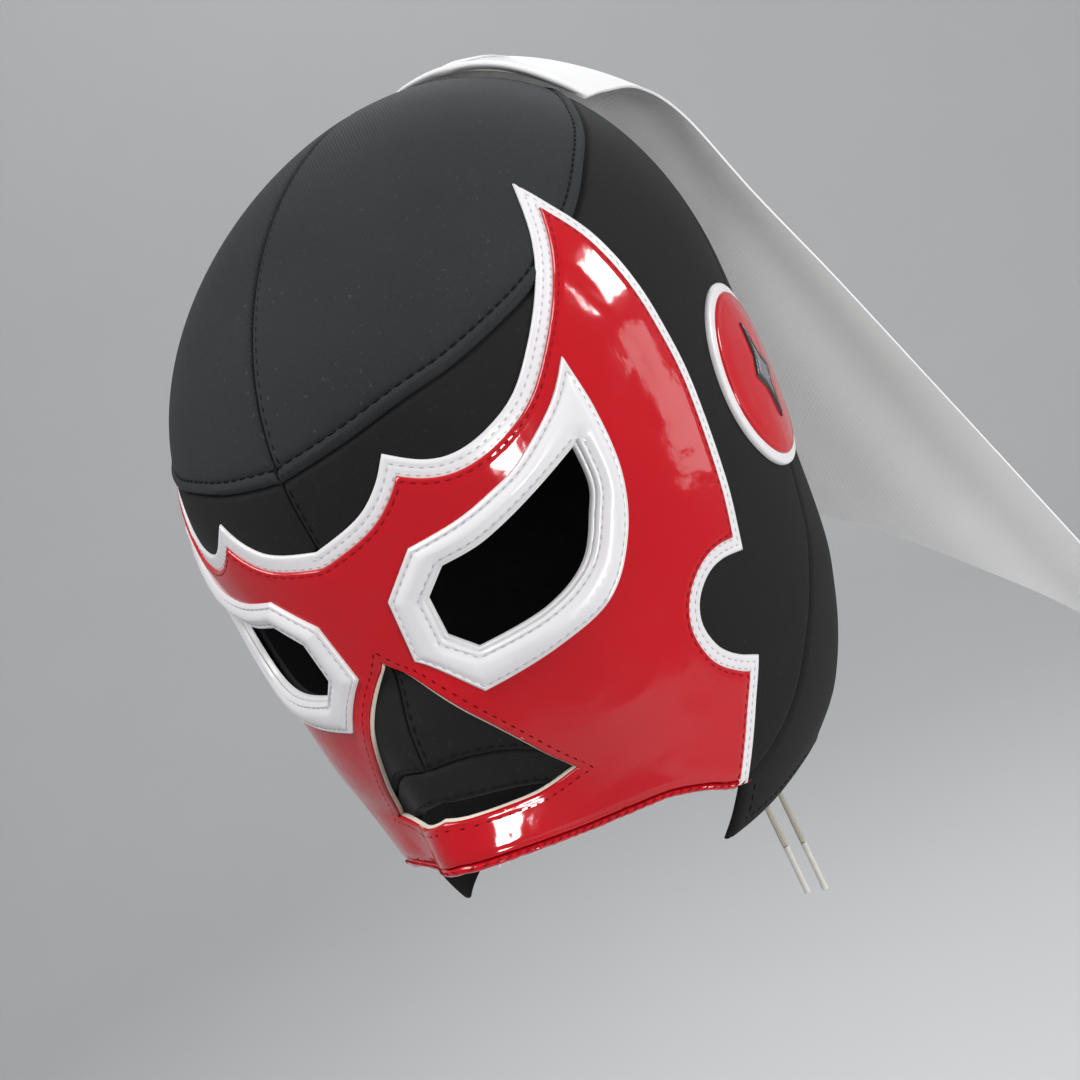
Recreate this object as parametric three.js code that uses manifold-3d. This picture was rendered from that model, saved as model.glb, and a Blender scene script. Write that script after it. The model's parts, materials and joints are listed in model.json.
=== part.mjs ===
// Luchador mask, built as it is worn: a black cloth hood of ten panels, a red vinyl
// face with white borders, padded eye trims, discs over the ears, laces at the back
// and a white cloth that hangs behind from the crown.
//
// Millimetres. +X is the wearer's left, -Y the front, +Z up. The origin is the top of
// the hollow in the crown, the point where the head bears.

import * as THREE from 'three';
import { mergeVertices } from 'three/addons/utils/BufferGeometryUtils.js';
import Module from 'manifold-3d';

const wasm = await Module();
wasm.setup();

// Overall sizes of the hollow
const HEAD_WIDTH = 144;
const HEAD_LENGTH = 200;
const CROWN_HEIGHT = 82;
const HOOD_HEIGHT = 224;
const CROWN_SETBACK = 30;
const NOSE_RIDGE = 17;
const NOSE_SPREAD = 13;

// Thicknesses and clearances
const CLOTH = 2;
const VINYL = 1;
const PADDING = 2.2;
const HEM_ROLL = 1.6;
const STAR_THICKNESS = 0.7;
const DRAPE_THICKNESS = 1;
const GAP = 0.3;

// Widths of the trims
const BORDER_WIDTH = 3.8;
const HEM_WIDTH = 2;
const NOSE_ALLOWANCE = 5;

// Ear discs
const DISC_DIAMETER = 51;
const RIM_WIDTH = 2.8;
const DISC_TURN = 93;
const DISC_DROP = 0.485;
const STAR_LENGTH = 27;
const STAR_WIDTH = 13;
const STAR_WAIST = 0.34;
const STAR_HOLE = 0.64;
const STAR_CLEARANCE = 0.08;

// Lacing
const SLOT_WIDTH = 16;
const SLOT_TOP = 0.42;
const EYELET_PAIRS = 5;
const EYELET_OUTER = 9;
const EYELET_INNER = 5.4;
const EYELET_THICKNESS = 0.8;
const EYELET_INSET = 6;
const EYELET_SEAT = 0.5;
const FIRST_EYELET = 0.48;
const LAST_EYELET = 0.95;
const LACE = 2.4;
const LACE_SIDES = 8;
const AGLET_LENGTH = 20;
const AGLET_DIAMETER = 2.4;

// The turn of the back centre line, in degrees
const BACK_CENTRE = 180;

// Finishes, from the photograph
const FINISH = {
  crown_cloth: { color: 0x2e3033, roughness: 0.85, metalness: 0 },
  side_cloth: { color: 0x1c1d1c, roughness: 0.9, metalness: 0 },
  red_vinyl: { color: 0xc81820, roughness: 0.18, metalness: 0 },
  white_vinyl: { color: 0xe8e5e6, roughness: 0.4, metalness: 0 },
  star_black: { color: 0x1a1a1c, roughness: 0.35, metalness: 0 },
  star_grey: { color: 0x77787c, roughness: 0.35, metalness: 0 },
  white_cloth: { color: 0xd8d8d4, roughness: 0.95, metalness: 0 },
  lace: { color: 0xe6e2d2, roughness: 0.8, metalness: 0 },
  eyelet: { color: 0x3a3a3c, roughness: 0.4, metalness: 0.8 },
};

// Sections of the hollow, from the brow down. drop is the depth under the crown as a
// share of HOOD_HEIGHT, half_width a share of HEAD_WIDTH, front and back shares of
// HEAD_LENGTH from the section's axis, and ridge the share of NOSE_RIDGE that the
// nose pushes the cloth out by.
const SECTION_COLUMNS = ['drop', 'half_width', 'front', 'back', 'ridge'];
const SECTIONS = [
  [CROWN_HEIGHT / HOOD_HEIGHT, 0.5, 0.49, 0.51, 0],
  [0.482, 0.503, 0.4775, 0.48, 0],
  [0.554, 0.503, 0.468, 0.445, 0],
  [0.625, 0.498, 0.46, 0.42, 0.42],
  [0.688, 0.493, 0.45, 0.4025, 0.65],
  [0.732, 0.486, 0.4365, 0.3875, 0.82],
  [0.777, 0.469, 0.4325, 0.37, 0.97],
  [0.821, 0.448, 0.4325, 0.35, 0.9],
  [0.884, 0.403, 0.43, 0.33, 0],
  [1, 0.278, 0.41, 0.305, 0],
].map((row) => Object.fromEntries(row.map((value, i) => [SECTION_COLUMNS[i], value])));

// Outlines on the head. turn is the angle in degrees from the front centre line
// towards the wearer's left, drop the share of HOOD_HEIGHT under the crown, and a
// corner is sharp where the rest runs smoothly. Each is the left half or the left one.
const FACE_TOP = [
  { turn: 0, drop: 0.415 },
  { turn: 7, drop: 0.406 },
  { turn: 11.5, drop: 0.396 },
  { turn: 15.5, drop: 0.378 },
  { turn: 18.5, drop: 0.356, corner: true },
  { turn: 24, drop: 0.378 },
  { turn: 29, drop: 0.385 },
  { turn: 35, drop: 0.378 },
  { turn: 41, drop: 0.359 },
  { turn: 47, drop: 0.32 },
  { turn: 52, drop: 0.277 },
  { turn: 55, drop: 0.237 },
  { turn: 57, drop: 0.183, corner: true },
  { turn: 61, drop: 0.214 },
  { turn: 66.5, drop: 0.264 },
  { turn: 70, drop: 0.33 },
  { turn: 71.5, drop: 0.41 },
  { turn: 70.5, drop: 0.48 },
  { turn: 68.5, drop: 0.554 },
  { turn: 65.5, drop: 0.629, corner: true },
  { turn: 60.5, drop: 0.622 },
  { turn: 56.5, drop: 0.626 },
  { turn: 53, drop: 0.643 },
  { turn: 51.5, drop: 0.668 },
  { turn: 52.5, drop: 0.698 },
  { turn: 55.5, drop: 0.721 },
  { turn: 59.5, drop: 0.737, corner: true },
  { turn: 56.5, drop: 0.777 },
  { turn: 51, drop: 0.857 },
  { turn: 49, drop: 0.886 },
];
const CHIN_LINE = [
  { turn: 51, drop: 0.857 },
  { turn: 46, drop: 0.846 },
  { turn: 41, drop: 0.83 },
  { turn: 34, drop: 0.814 },
  { turn: 26.5, drop: 0.808 },
  { turn: 17.5, drop: 0.803 },
  { turn: 11.5, drop: 0.795 },
  { turn: 4.5, drop: 0.78 },
  { turn: 0, drop: 0.774 },
];
const EYE_TRIM = [
  { turn: 49.5, drop: 0.352, corner: true },
  { turn: 50.5, drop: 0.411 },
  { turn: 49.5, drop: 0.482 },
  { turn: 45.5, drop: 0.54 },
  { turn: 38.5, drop: 0.586 },
  { turn: 28, drop: 0.603 },
  { turn: 14, drop: 0.612, corner: true },
  { turn: 6, drop: 0.554, corner: true },
  { turn: 7.5, drop: 0.487, corner: true },
  { turn: 15, drop: 0.446, corner: true },
  { turn: 23.5, drop: 0.442 },
  { turn: 30, drop: 0.433 },
  { turn: 36, drop: 0.42 },
  { turn: 44.5, drop: 0.386 },
];
const EYE_OPENING = [
  { turn: 45.5, drop: 0.429, corner: true },
  { turn: 45, drop: 0.473 },
  { turn: 43, drop: 0.5 },
  { turn: 38, drop: 0.543 },
  { turn: 29.5, drop: 0.566 },
  { turn: 16.5, drop: 0.572, corner: true },
  { turn: 12.5, drop: 0.545, corner: true },
  { turn: 13, drop: 0.5, corner: true },
  { turn: 18, drop: 0.474, corner: true },
  { turn: 24, drop: 0.472 },
  { turn: 29, drop: 0.465 },
  { turn: 36, drop: 0.451 },
];
const NOSE_SIDE = [
  { turn: 0, drop: 0.545 },
  { turn: 5.5, drop: 0.587 },
  { turn: 12, drop: 0.645 },
  { turn: 20.5, drop: 0.732 },
];
const NOSE_FOOT = [
  { turn: 20.5, drop: 0.732 },
  { turn: 12.5, drop: 0.738 },
  { turn: 4, drop: 0.725 },
  { turn: 0, drop: 0.717 },
];
const LIP_SEAM = [
  { turn: 0, drop: 0.664 },
  { turn: 4, drop: 0.665 },
  { turn: 8, drop: 0.671 },
  { turn: 13.5, drop: 0.687 },
  { turn: 27, drop: 0.74 },
];
const UPPER_LIP = [
  { turn: 0, drop: 0.7 },
  { turn: 5, drop: 0.709 },
  { turn: 11.5, drop: 0.727 },
  { turn: 17, drop: 0.746 },
  { turn: 27, drop: 0.785 },
];
const LOWER_LIP = [
  { turn: 17, drop: 0.754 },
  { turn: 9, drop: 0.744 },
  { turn: 0, drop: 0.738 },
];
const CROWN_SEAM = [
  { turn: 0, drop: 0.339 },
  { turn: 13, drop: 0.33 },
  { turn: 24.5, drop: 0.318 },
  { turn: 36, drop: 0.307 },
  { turn: 52, drop: 0.277 },
  { turn: 65.5, drop: 0.232 },
  { turn: 76, drop: 0.188 },
  { turn: 86, drop: 0.152 },
  { turn: 96, drop: 0.118 },
  { turn: 114, drop: 0.08 },
  { turn: 145, drop: 0.05 },
  { turn: 180, drop: 0.042 },
];
const REAR_SEAM = [
  { turn: 114, drop: 0.08 },
  { turn: 112, drop: 0.2 },
  { turn: 106, drop: 0.34 },
  { turn: 100, drop: 0.46 },
  { turn: 96.5, drop: 0.55 },
  { turn: 92, drop: 0.629 },
  { turn: 87.5, drop: 0.683 },
  { turn: 80.5, drop: 0.732 },
  { turn: 69.5, drop: 0.812 },
  { turn: 60, drop: 0.846 },
  { turn: 51, drop: 0.857 },
];
const NECK_LINE = [
  { turn: 51, drop: 0.857, corner: true },
  { turn: 48.5, drop: 0.888 },
  { turn: 46.5, drop: 0.911, corner: true },
  { turn: 61.5, drop: 0.92 },
  { turn: 77, drop: 0.926 },
  { turn: 95, drop: 0.955 },
  { turn: 130, drop: 0.99 },
  { turn: 180, drop: 1 },
];

// Rows of the back cloth, from its sewn front edge to its hem. centre_back and
// edge_back are shares of HEAD_LENGTH, edge_side of HEAD_WIDTH and the drops of
// HOOD_HEIGHT. arch says how late a row falls from its centre to its edge.
const DRAPE_COLUMNS = ['centre_back', 'centre_drop', 'edge_side', 'edge_back', 'edge_drop', 'arch'];
const DRAPE_ROWS = [
  [0.02, -0.0135, 0.354, 0.05, 0.104, 2.3],
  [0.1, -0.03, 0.372, 0.13, 0.101, 2.3],
  [0.24, -0.012, 0.395, 0.235, 0.112, 2.2],
  [0.35, 0.08, 0.432, 0.3, 0.17, 2],
  [0.395, 0.22, 0.492, 0.335, 0.31, 1.8],
  [0.41, 0.38, 0.578, 0.35, 0.468, 1.6],
  [0.41, 0.53, 0.668, 0.35, 0.634, 1.5],
  [0.41, 0.64, 0.765, 0.35, 0.812, 1.5],
  [0.41, 0.728, 1, 0.35, 1.25, 1.6],
].map((row) => Object.fromEntries(row.map((value, i) => [DRAPE_COLUMNS[i], value])));

// Free lace ends, from the last eyelet down, chosen by hand for the left one
const LACE_END_ROUTE = [
  [9.6, 35.8, -213.9],
  [9.1, 35.9, -213.9],
  [8.6, 35.97, -213.9],
  [7.25, 36.16, -214.08],
  [6, 36.3, -214.6],
  [4.92, 36.42, -215.42],
  [4.1, 36.52, -216.5],
  [3.58, 36.6, -217.75],
  [3.4, 36.7, -219.1],
  [3.4, 36.8, -223],
  [3.4, 36.8, -228],
  [3.4, 36.8, -234],
  [3.4, 36.8, -241],
  [3.4, 36.8, -248],
  [3.4, 36.8, -256],
  [3.4, 36.8, -264],
  [3.4, 36.8, -272],
  [3.4, 36.8, -279],
];

// Monotone curve through a column of the sections, read at a drop
function sectionValue(name, drop) {
  const rows = SECTIONS;
  const last = rows.length - 1;
  if (drop <= rows[0].drop) return rows[0][name];
  if (drop >= rows[last].drop) return rows[last][name];
  const slopeAfter = (i) => (rows[i + 1][name] - rows[i][name]) / (rows[i + 1].drop - rows[i].drop);
  const tangent = (i) => {
    if (i === 0 || i === last) return 0;
    const before = slopeAfter(i - 1);
    const after = slopeAfter(i);
    return before * after <= 0 ? 0 : (2 * before * after) / (before + after);
  };
  const i = rows.findIndex((row, k) => k < last && drop <= rows[k + 1].drop);
  const span = rows[i + 1].drop - rows[i].drop;
  const t = (drop - rows[i].drop) / span;
  const t2 = t * t;
  const t3 = t2 * t;
  return (2 * t3 - 3 * t2 + 1) * rows[i][name]
    + (t3 - 2 * t2 + t) * span * tangent(i)
    + (3 * t2 - 2 * t3) * rows[i + 1][name]
    + (t3 - t2) * span * tangent(i + 1);
}

// Half axes of the head at a height, for a surface that lies offset outside it
function sectionAt(z, offset) {
  const drop = -z / HOOD_HEIGHT;
  const domeHeight = CROWN_HEIGHT + offset;
  const rise = THREE.MathUtils.clamp((z + CROWN_HEIGHT) / domeHeight, 0, 1);
  const shrink = Math.sqrt(1 - rise * rise);
  return {
    side: (sectionValue('half_width', drop) * HEAD_WIDTH + offset) * shrink,
    front: (sectionValue('front', drop) * HEAD_LENGTH + offset) * shrink,
    back: (sectionValue('back', drop) * HEAD_LENGTH + offset) * shrink,
    axis: CROWN_SETBACK * (rise * rise - 1),
    ridge: sectionValue('ridge', drop) * NOSE_RIDGE,
    rise,
    domeHeight,
  };
}

function headPoint(turn, z, offset = 0) {
  const s = sectionAt(z, offset);
  const angle = THREE.MathUtils.degToRad(turn);
  const ahead = Math.cos(angle);
  const x = s.side * Math.sin(angle);
  const nose = ahead > 0 ? s.ridge * Math.exp(-((x / NOSE_SPREAD) ** 2)) : 0;
  const y = s.axis - (ahead > 0 ? s.front : s.back) * ahead - nose;
  return new THREE.Vector3(x, y, z);
}

// The direction away from the head, taken without the nose
function outward(turn, z) {
  const s = sectionAt(z, 0);
  const angle = THREE.MathUtils.degToRad(turn);
  const ahead = Math.cos(angle);
  const reach = ahead > 0 ? s.front : s.back;
  return new THREE.Vector3(
    Math.sin(angle) / s.side,
    -ahead / reach,
    s.rise / s.domeHeight / Math.max(Math.sqrt(1 - s.rise * s.rise), 0.05),
  ).normalize();
}

// The turn of a point that lies near the head
function turnOf(point) {
  const s = sectionAt(point.z, 0);
  const nose = point.y < s.axis ? s.ridge * Math.exp(-((point.x / NOSE_SPREAD) ** 2)) : 0;
  const y = point.y + nose - s.axis;
  const reach = y < 0 ? s.front : s.back;
  return THREE.MathUtils.radToDeg(Math.atan2(point.x / s.side, -y / reach));
}

function place(row) {
  return { turn: row.turn, z: -row.drop * HOOD_HEIGHT, corner: row.corner };
}

// A smooth run of places through a table, sharp at its corners
const OUTLINE_STEP = 10;
const SEAM_STEP = 18;

function run(table, step = OUTLINE_STEP) {
  const places = table.map(place);
  const out = [];
  let first = 0;
  for (let i = 1; i < places.length; i++) {
    if (!places[i].corner && i < places.length - 1) continue;
    const part = places.slice(first, i + 1);
    const spline = new THREE.SplineCurve(part.map((p) => new THREE.Vector2(p.turn, p.z)));
    const samples = 20;
    const pointAt = (t) => headPoint(spline.getPoint(t).x, spline.getPoint(t).y);
    let length = 0;
    for (let k = 0; k < samples; k++) length += pointAt(k / samples).distanceTo(pointAt((k + 1) / samples));
    const count = Math.max(1, Math.round(length / step));
    for (let k = 0; k < count; k++) {
      const p = spline.getPoint(k / count);
      out.push({ turn: p.x, z: p.y });
    }
    first = i;
  }
  out.push({ turn: places.at(-1).turn, z: places.at(-1).z });
  return out;
}

// A closed outline through a table that starts at a corner
function loop(table, step = OUTLINE_STEP) {
  return run([...table, table[0]], step).slice(0, -1);
}

function mirrorPlaces(line) {
  return line.map((p) => ({ turn: -p.turn, z: p.z })).reverse();
}

// A closed outline from its left half, which starts and ends on the centre line
function symmetric(line) {
  return [...line, ...mirrorPlaces(line.slice(1, -1))];
}

// A closed outline from a line that starts and ends on a centre line, taken a little
// past it, for a cut along the centre line afterwards
function pastCentre(line, centre) {
  const past = centre === 0 ? -1 : centre + 1;
  return [{ turn: past, z: line[0].z }, ...line, { turn: past, z: line.at(-1).z }];
}

// The place before or after one in a line; a line that ends on the front or back
// centre goes on as its mirror image
function neighbour(line, i, step) {
  const k = i + step;
  if (k >= 0 && k < line.length) return line[k];
  const end = line[i].turn;
  if (end !== 0 && end !== BACK_CENTRE) return null;
  const inner = line[i - step];
  return { turn: 2 * end - inner.turn, z: inner.z };
}

// Moves a line of places sideways over the head, to the right of its direction, and
// leaves out what would come too near the line again behind a sharp corner
const SHARPEST_MITRE = 0.12;
const CORNER_MITRE = 0.8;
const NEARNESS = 0.985;

function moved(line, distance) {
  if (distance === 0) return line;
  const points = line.map((p) => headPoint(p.turn, p.z));
  const places = line.map((p, i) => {
    const out = outward(p.turn, p.z);
    const sideways = (from, to) => to.clone().sub(from).cross(out).normalize();
    const before = neighbour(line, i, -1);
    const after = neighbour(line, i, 1);
    const first = before && sideways(headPoint(before.turn, before.z), points[i]);
    const second = after && sideways(points[i], headPoint(after.turn, after.z));
    const way = (first ?? second).clone().add(second ?? first).normalize();
    const stretch = Math.max(way.dot(first ?? second), SHARPEST_MITRE);
    const target = points[i].clone().addScaledVector(way, distance / stretch);
    const onCentre = p.turn === 0 || p.turn === BACK_CENTRE;
    return { turn: onCentre ? p.turn : turnOf(target), z: target.z, corner: stretch < CORNER_MITRE };
  });
  const segments = points.slice(1).map((p, i) => new THREE.Line3(points[i], p));
  return places.filter((p) => {
    const here = headPoint(p.turn, p.z);
    const nearest = Math.min(...segments.map((segment) => {
      return segment.closestPointToPoint(here, true, new THREE.Vector3()).distanceTo(here);
    }));
    return p.corner || nearest > Math.abs(distance) * NEARNESS;
  });
}

// A body from shared vertices and triangles
function solid(points, triangles) {
  return new wasm.Manifold(new wasm.Mesh({
    numProp: 3,
    vertProperties: Float32Array.from(points.flatMap((p) => [p.x, p.y, p.z])),
    triVerts: Uint32Array.from(triangles.flat()),
  }));
}

function solidOf(geometry) {
  const bare = geometry.clone();
  bare.deleteAttribute('normal');
  bare.deleteAttribute('uv');
  const merged = mergeVertices(bare, 1e-4);
  return new wasm.Manifold(new wasm.Mesh({
    numProp: 3,
    vertProperties: merged.attributes.position.array,
    triVerts: Uint32Array.from(merged.index.array),
  }));
}

function geometryOf(body) {
  const mesh = body.getMesh();
  const geometry = new THREE.BufferGeometry();
  const positions = new Float32Array(mesh.numVert * 3);
  for (let i = 0; i < mesh.numVert; i++) {
    for (let k = 0; k < 3; k++) positions[3 * i + k] = mesh.vertProperties[mesh.numProp * i + k];
  }
  geometry.setAttribute('position', new THREE.BufferAttribute(positions, 3));
  geometry.setIndex(new THREE.BufferAttribute(Uint32Array.from(mesh.triVerts), 1));
  geometry.computeVertexNormals();
  return geometry;
}

function geometryFrom(points, triangles) {
  const geometry = new THREE.BufferGeometry();
  geometry.setFromPoints(points);
  geometry.setIndex(triangles.flat());
  geometry.computeVertexNormals();
  return geometry;
}

// The right-hand copy of a left-hand piece
function mirroredGeometry(geometry) {
  const copy = geometry.clone();
  copy.scale(-1, 1, 1);
  const index = copy.index.array;
  for (let i = 0; i < index.length; i += 3) [index[i], index[i + 1]] = [index[i + 1], index[i]];
  copy.computeVertexNormals();
  return copy;
}

const DOME_CENTRE = new THREE.Vector3(0, -CROWN_SETBACK, -CROWN_HEIGHT);

// The whole head shape at an offset, with finer columns over the face
const FRONT_STEP = 12;
const FRONT_TURNS = 72;
const BACK_STEP = 12;
const DOME_ROWS = 5;
const LOWER_ROWS = 7;
const SKIRT = 12;

function headSolid(offset) {
  const turns = [];
  for (let t = -FRONT_TURNS; t <= FRONT_TURNS; t += FRONT_STEP) turns.push(t);
  for (let t = FRONT_TURNS + BACK_STEP; t < 360 - FRONT_TURNS; t += BACK_STEP) turns.push(t);
  const heights = [];
  for (let i = 1; i <= DOME_ROWS; i++) {
    const climb = Math.cos((Math.PI / 2) * (i / DOME_ROWS));
    heights.push(climb * (CROWN_HEIGHT + offset) - CROWN_HEIGHT);
  }
  const lower = HOOD_HEIGHT + SKIRT - CROWN_HEIGHT;
  for (let i = 1; i <= LOWER_ROWS; i++) heights.push(-CROWN_HEIGHT - (lower * i) / LOWER_ROWS);
  const points = [new THREE.Vector3(0, 0, offset)];
  for (const z of heights) {
    for (const t of turns) points.push(headPoint(t, z, offset));
  }
  const bottom = points.push(new THREE.Vector3(0, -CROWN_SETBACK, heights.at(-1))) - 1;
  const wide = turns.length;
  const at = (row, column) => 1 + row * wide + (column % wide);
  const triangles = [];
  for (let c = 0; c < wide; c++) {
    triangles.push([0, at(0, c), at(0, c + 1)]);
    const onLeft = turns[c] >= 0 && turns[c] < BACK_CENTRE;
    for (let r = 0; r + 1 < heights.length; r++) {
      const [a, b, d, e] = [at(r, c), at(r + 1, c), at(r + 1, c + 1), at(r, c + 1)];
      if (onLeft) triangles.push([a, b, d], [a, d, e]);
      else triangles.push([a, b, e], [b, d, e]);
    }
    triangles.push([at(heights.length - 1, c), bottom, at(heights.length - 1, c + 1)]);
  }
  return solid(points, triangles);
}

function layer(base, thickness) {
  return headSolid(base + thickness).subtract(headSolid(base));
}

// A punch through the head's wall, from a closed outline. Its sides stand square to
// the wall, and a cap reaches a centre point where the outline goes round the crown.
const PUNCH_IN = 14;
const PUNCH_OUT = 400;

function punch(outline, centres = null) {
  const count = outline.length;
  const reach = (p, distance) => headPoint(p.turn, p.z).addScaledVector(outward(p.turn, p.z), distance);
  const points = [-PUNCH_IN, 0, PUNCH_OUT].flatMap((d) => outline.map((p) => reach(p, d)));
  const triangles = [];
  for (let ring = 0; ring < 2; ring++) {
    for (let i = 0; i < count; i++) {
      const next = (i + 1) % count;
      const a = ring * count + i;
      const b = ring * count + next;
      const [c, d] = [a + count, b + count];
      if (outline[i].turn + outline[next].turn < 0) triangles.push([a, c, d], [a, d, b]);
      else triangles.push([a, c, b], [b, c, d]);
    }
  }
  const far = 2 * count;
  if (centres) {
    const inner = points.push(centres.inner) - 1;
    const outer = points.push(centres.outer) - 1;
    for (let i = 0; i < count; i++) {
      const next = (i + 1) % count;
      triangles.push([i, next, inner], [far + next, far + i, outer]);
    }
  } else {
    const chart = outline.map((p) => new THREE.Vector2(p.turn, p.z));
    const clockwise = THREE.ShapeUtils.isClockWise(chart);
    for (const [a, b, c] of THREE.ShapeUtils.triangulateShape(chart, [])) {
      const [u, v] = clockwise ? [b, a] : [a, b];
      triangles.push([u, v, c], [far + v, far + u, far + c]);
    }
  }
  const body = solid(points, triangles);
  return body.volume() > 0 ? body : solid(points, triangles.map(([a, b, c]) => [a, c, b]));
}

// A block that holds everything on the wearer's left of the centre seam
function leftBlock() {
  const size = 1000;
  const block = new THREE.BoxGeometry(size, size, size);
  block.translate(size / 2 + GAP / 2, 0, 0);
  return solidOf(block);
}

const clothLayer = layer(0, CLOTH);
const vinylBase = CLOTH + GAP;
const vinylLayer = layer(vinylBase, VINYL);
const trimBase = vinylBase + VINYL + GAP;
const leftHalf = leftBlock();

const faceTop = run(FACE_TOP);
const chinLine = run(CHIN_LINE);
const eyeLoop = loop(EYE_OPENING);
const eyeHoles = punch(eyeLoop).add(punch(mirrorPlaces(eyeLoop)));
const crownSeam = run(CROWN_SEAM, SEAM_STEP);
const rearSeam = run(REAR_SEAM, SEAM_STEP);
const neckLine = run(NECK_LINE, SEAM_STEP);
const noseSide = run(NOSE_SIDE);
const upperLip = run(UPPER_LIP);
const lipSeam = run(LIP_SEAM);

// What lies under a line that runs from the front centre to the wearer's left
function below(line, depth) {
  const last = line.at(-1);
  const foot = last.z - depth;
  return punch(symmetric([...line, { turn: last.turn, z: foot }, { turn: 0, z: foot - depth / 4 }]));
}

// The panels of the hood
function crownPanel() {
  const edge = moved(crownSeam, -GAP / 2);
  const cap = punch(symmetric(edge), {
    inner: DOME_CENTRE,
    outer: new THREE.Vector3(0, 0, PUNCH_OUT),
  });
  return geometryOf(clothLayer.intersect(cap).intersect(leftHalf));
}

// The field under the nose opening, which the nose panels and the lip band fill
function noseField(clearance) {
  const side = moved(noseSide, -NOSE_ALLOWANCE - clearance);
  return punch(symmetric([...side, ...run(LOWER_LIP)]));
}

function sidePanel() {
  const top = crownSeam.filter((p) => p.turn < REAR_SEAM[0].turn);
  const edge = moved([...top, ...rearSeam, ...chinLine.slice(1)], GAP / 2);
  const field = clothLayer.intersect(punch(pastCentre(edge, 0))).intersect(leftHalf);
  return geometryOf(field.subtract(noseField(GAP / 2)).subtract(eyeHoles));
}

function nosePanel() {
  const field = clothLayer.intersect(noseField(-GAP / 2)).intersect(leftHalf);
  return geometryOf(field.subtract(below(moved(lipSeam, -GAP / 2), HOOD_HEIGHT / 10)));
}

function lipBand() {
  const field = clothLayer.intersect(noseField(-GAP / 2));
  const band = field.intersect(below(moved(lipSeam, GAP / 2), HOOD_HEIGHT / 10));
  return geometryOf(band.subtract(below(upperLip, HOOD_HEIGHT / 10)));
}

// Places of the eyelets, from the top pair down
function eyeletHeight(pair) {
  return -HOOD_HEIGHT * THREE.MathUtils.lerp(FIRST_EYELET, LAST_EYELET, pair / (EYELET_PAIRS - 1));
}

function eyeletPlace(pair) {
  return laceFrame(SLOT_WIDTH / 2 + EYELET_INSET, eyeletHeight(pair));
}

// A point of the back of the head by its distance x from the centre, with the true
// direction away from the surface
function laceFrame(x, z) {
  const turnAt = (height) => {
    return BACK_CENTRE - THREE.MathUtils.radToDeg(Math.asin(x / sectionAt(height, 0).side));
  };
  const turn = turnAt(z);
  const point = headPoint(turn, z);
  const along = headPoint(turn + 1, z).sub(point);
  const down = headPoint(turn, z - 1).sub(point);
  return { point, out: down.cross(along).normalize() };
}

function rearPanel() {
  const top = crownSeam.filter((p) => p.turn > REAR_SEAM[0].turn).reverse();
  const edge = moved([...top, ...rearSeam, ...neckLine.slice(1)], -GAP / 2);
  const slot = new THREE.BoxGeometry(SLOT_WIDTH, HEAD_LENGTH, HOOD_HEIGHT);
  slot.translate(0, HEAD_LENGTH / 2, -HOOD_HEIGHT * (SLOT_TOP + 0.5));
  const field = clothLayer.intersect(punch(pastCentre(edge, BACK_CENTRE)));
  let panel = field.intersect(leftHalf).subtract(solidOf(slot));
  for (let pair = 0; pair < EYELET_PAIRS; pair++) {
    const { point, out } = eyeletPlace(pair);
    const hole = new THREE.CylinderGeometry(EYELET_INNER / 2, EYELET_INNER / 2, 4 * CLOTH, EYELET_SIDES);
    hole.applyQuaternion(new THREE.Quaternion().setFromUnitVectors(new THREE.Vector3(0, 1, 0), out));
    hole.translate(...point);
    panel = panel.subtract(solidOf(hole));
  }
  return geometryOf(panel);
}

// The face of red vinyl, its white border and the folded hem along the chin
function faceField(inset) {
  const top = moved(faceTop, inset);
  return punch(symmetric([...top, { turn: 0, z: top.at(-1).z - HOOD_HEIGHT / 40 }]));
}

function belowChin(inset) {
  const line = moved([...chinLine].reverse(), -inset);
  const last = line.at(-1);
  const beyond = { turn: last.turn + 15, z: last.z - 0.03 * HOOD_HEIGHT };
  return below([...line, beyond], HOOD_HEIGHT / 8);
}

function facePanel() {
  const nose = punch(symmetric([...noseSide, ...run(NOSE_FOOT).slice(1)]));
  const field = vinylLayer.intersect(faceField(BORDER_WIDTH + GAP / 2));
  return geometryOf(field.subtract(belowChin(HEM_WIDTH + GAP)).subtract(nose).subtract(eyeHoles));
}

function faceBorder() {
  const field = vinylLayer.intersect(faceField(0));
  return geometryOf(field.subtract(faceField(BORDER_WIDTH - GAP / 2)).subtract(belowChin(0)));
}

function chinHem() {
  const field = layer(vinylBase, HEM_ROLL).intersect(faceField(BORDER_WIDTH + GAP / 2));
  return geometryOf(field.intersect(belowChin(HEM_WIDTH)).subtract(belowChin(0)));
}

function eyeTrim() {
  const frame = layer(trimBase, PADDING).intersect(punch(loop(EYE_TRIM)));
  return geometryOf(frame.subtract(eyeHoles));
}

// Ear discs: outlines laid on the head round the disc's centre
function onDisc(points) {
  const turn = DISC_TURN;
  const z = -DISC_DROP * HOOD_HEIGHT;
  const centre = headPoint(turn, z);
  const out = outward(turn, z);
  const up = new THREE.Vector3(0, 0, 1).projectOnPlane(out).normalize();
  const across = up.clone().cross(out);
  return points.map(([a, b]) => {
    const target = centre.clone().addScaledVector(across, a).addScaledVector(up, b);
    return { turn: turnOf(target), z: target.z };
  });
}

const DISC_SIDES = 18;

function circle(radius) {
  const points = [];
  for (let i = 0; i < DISC_SIDES; i++) {
    const angle = (2 * Math.PI * i) / DISC_SIDES;
    points.push([radius * Math.cos(angle), radius * Math.sin(angle)]);
  }
  return punch(onDisc(points));
}

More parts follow.
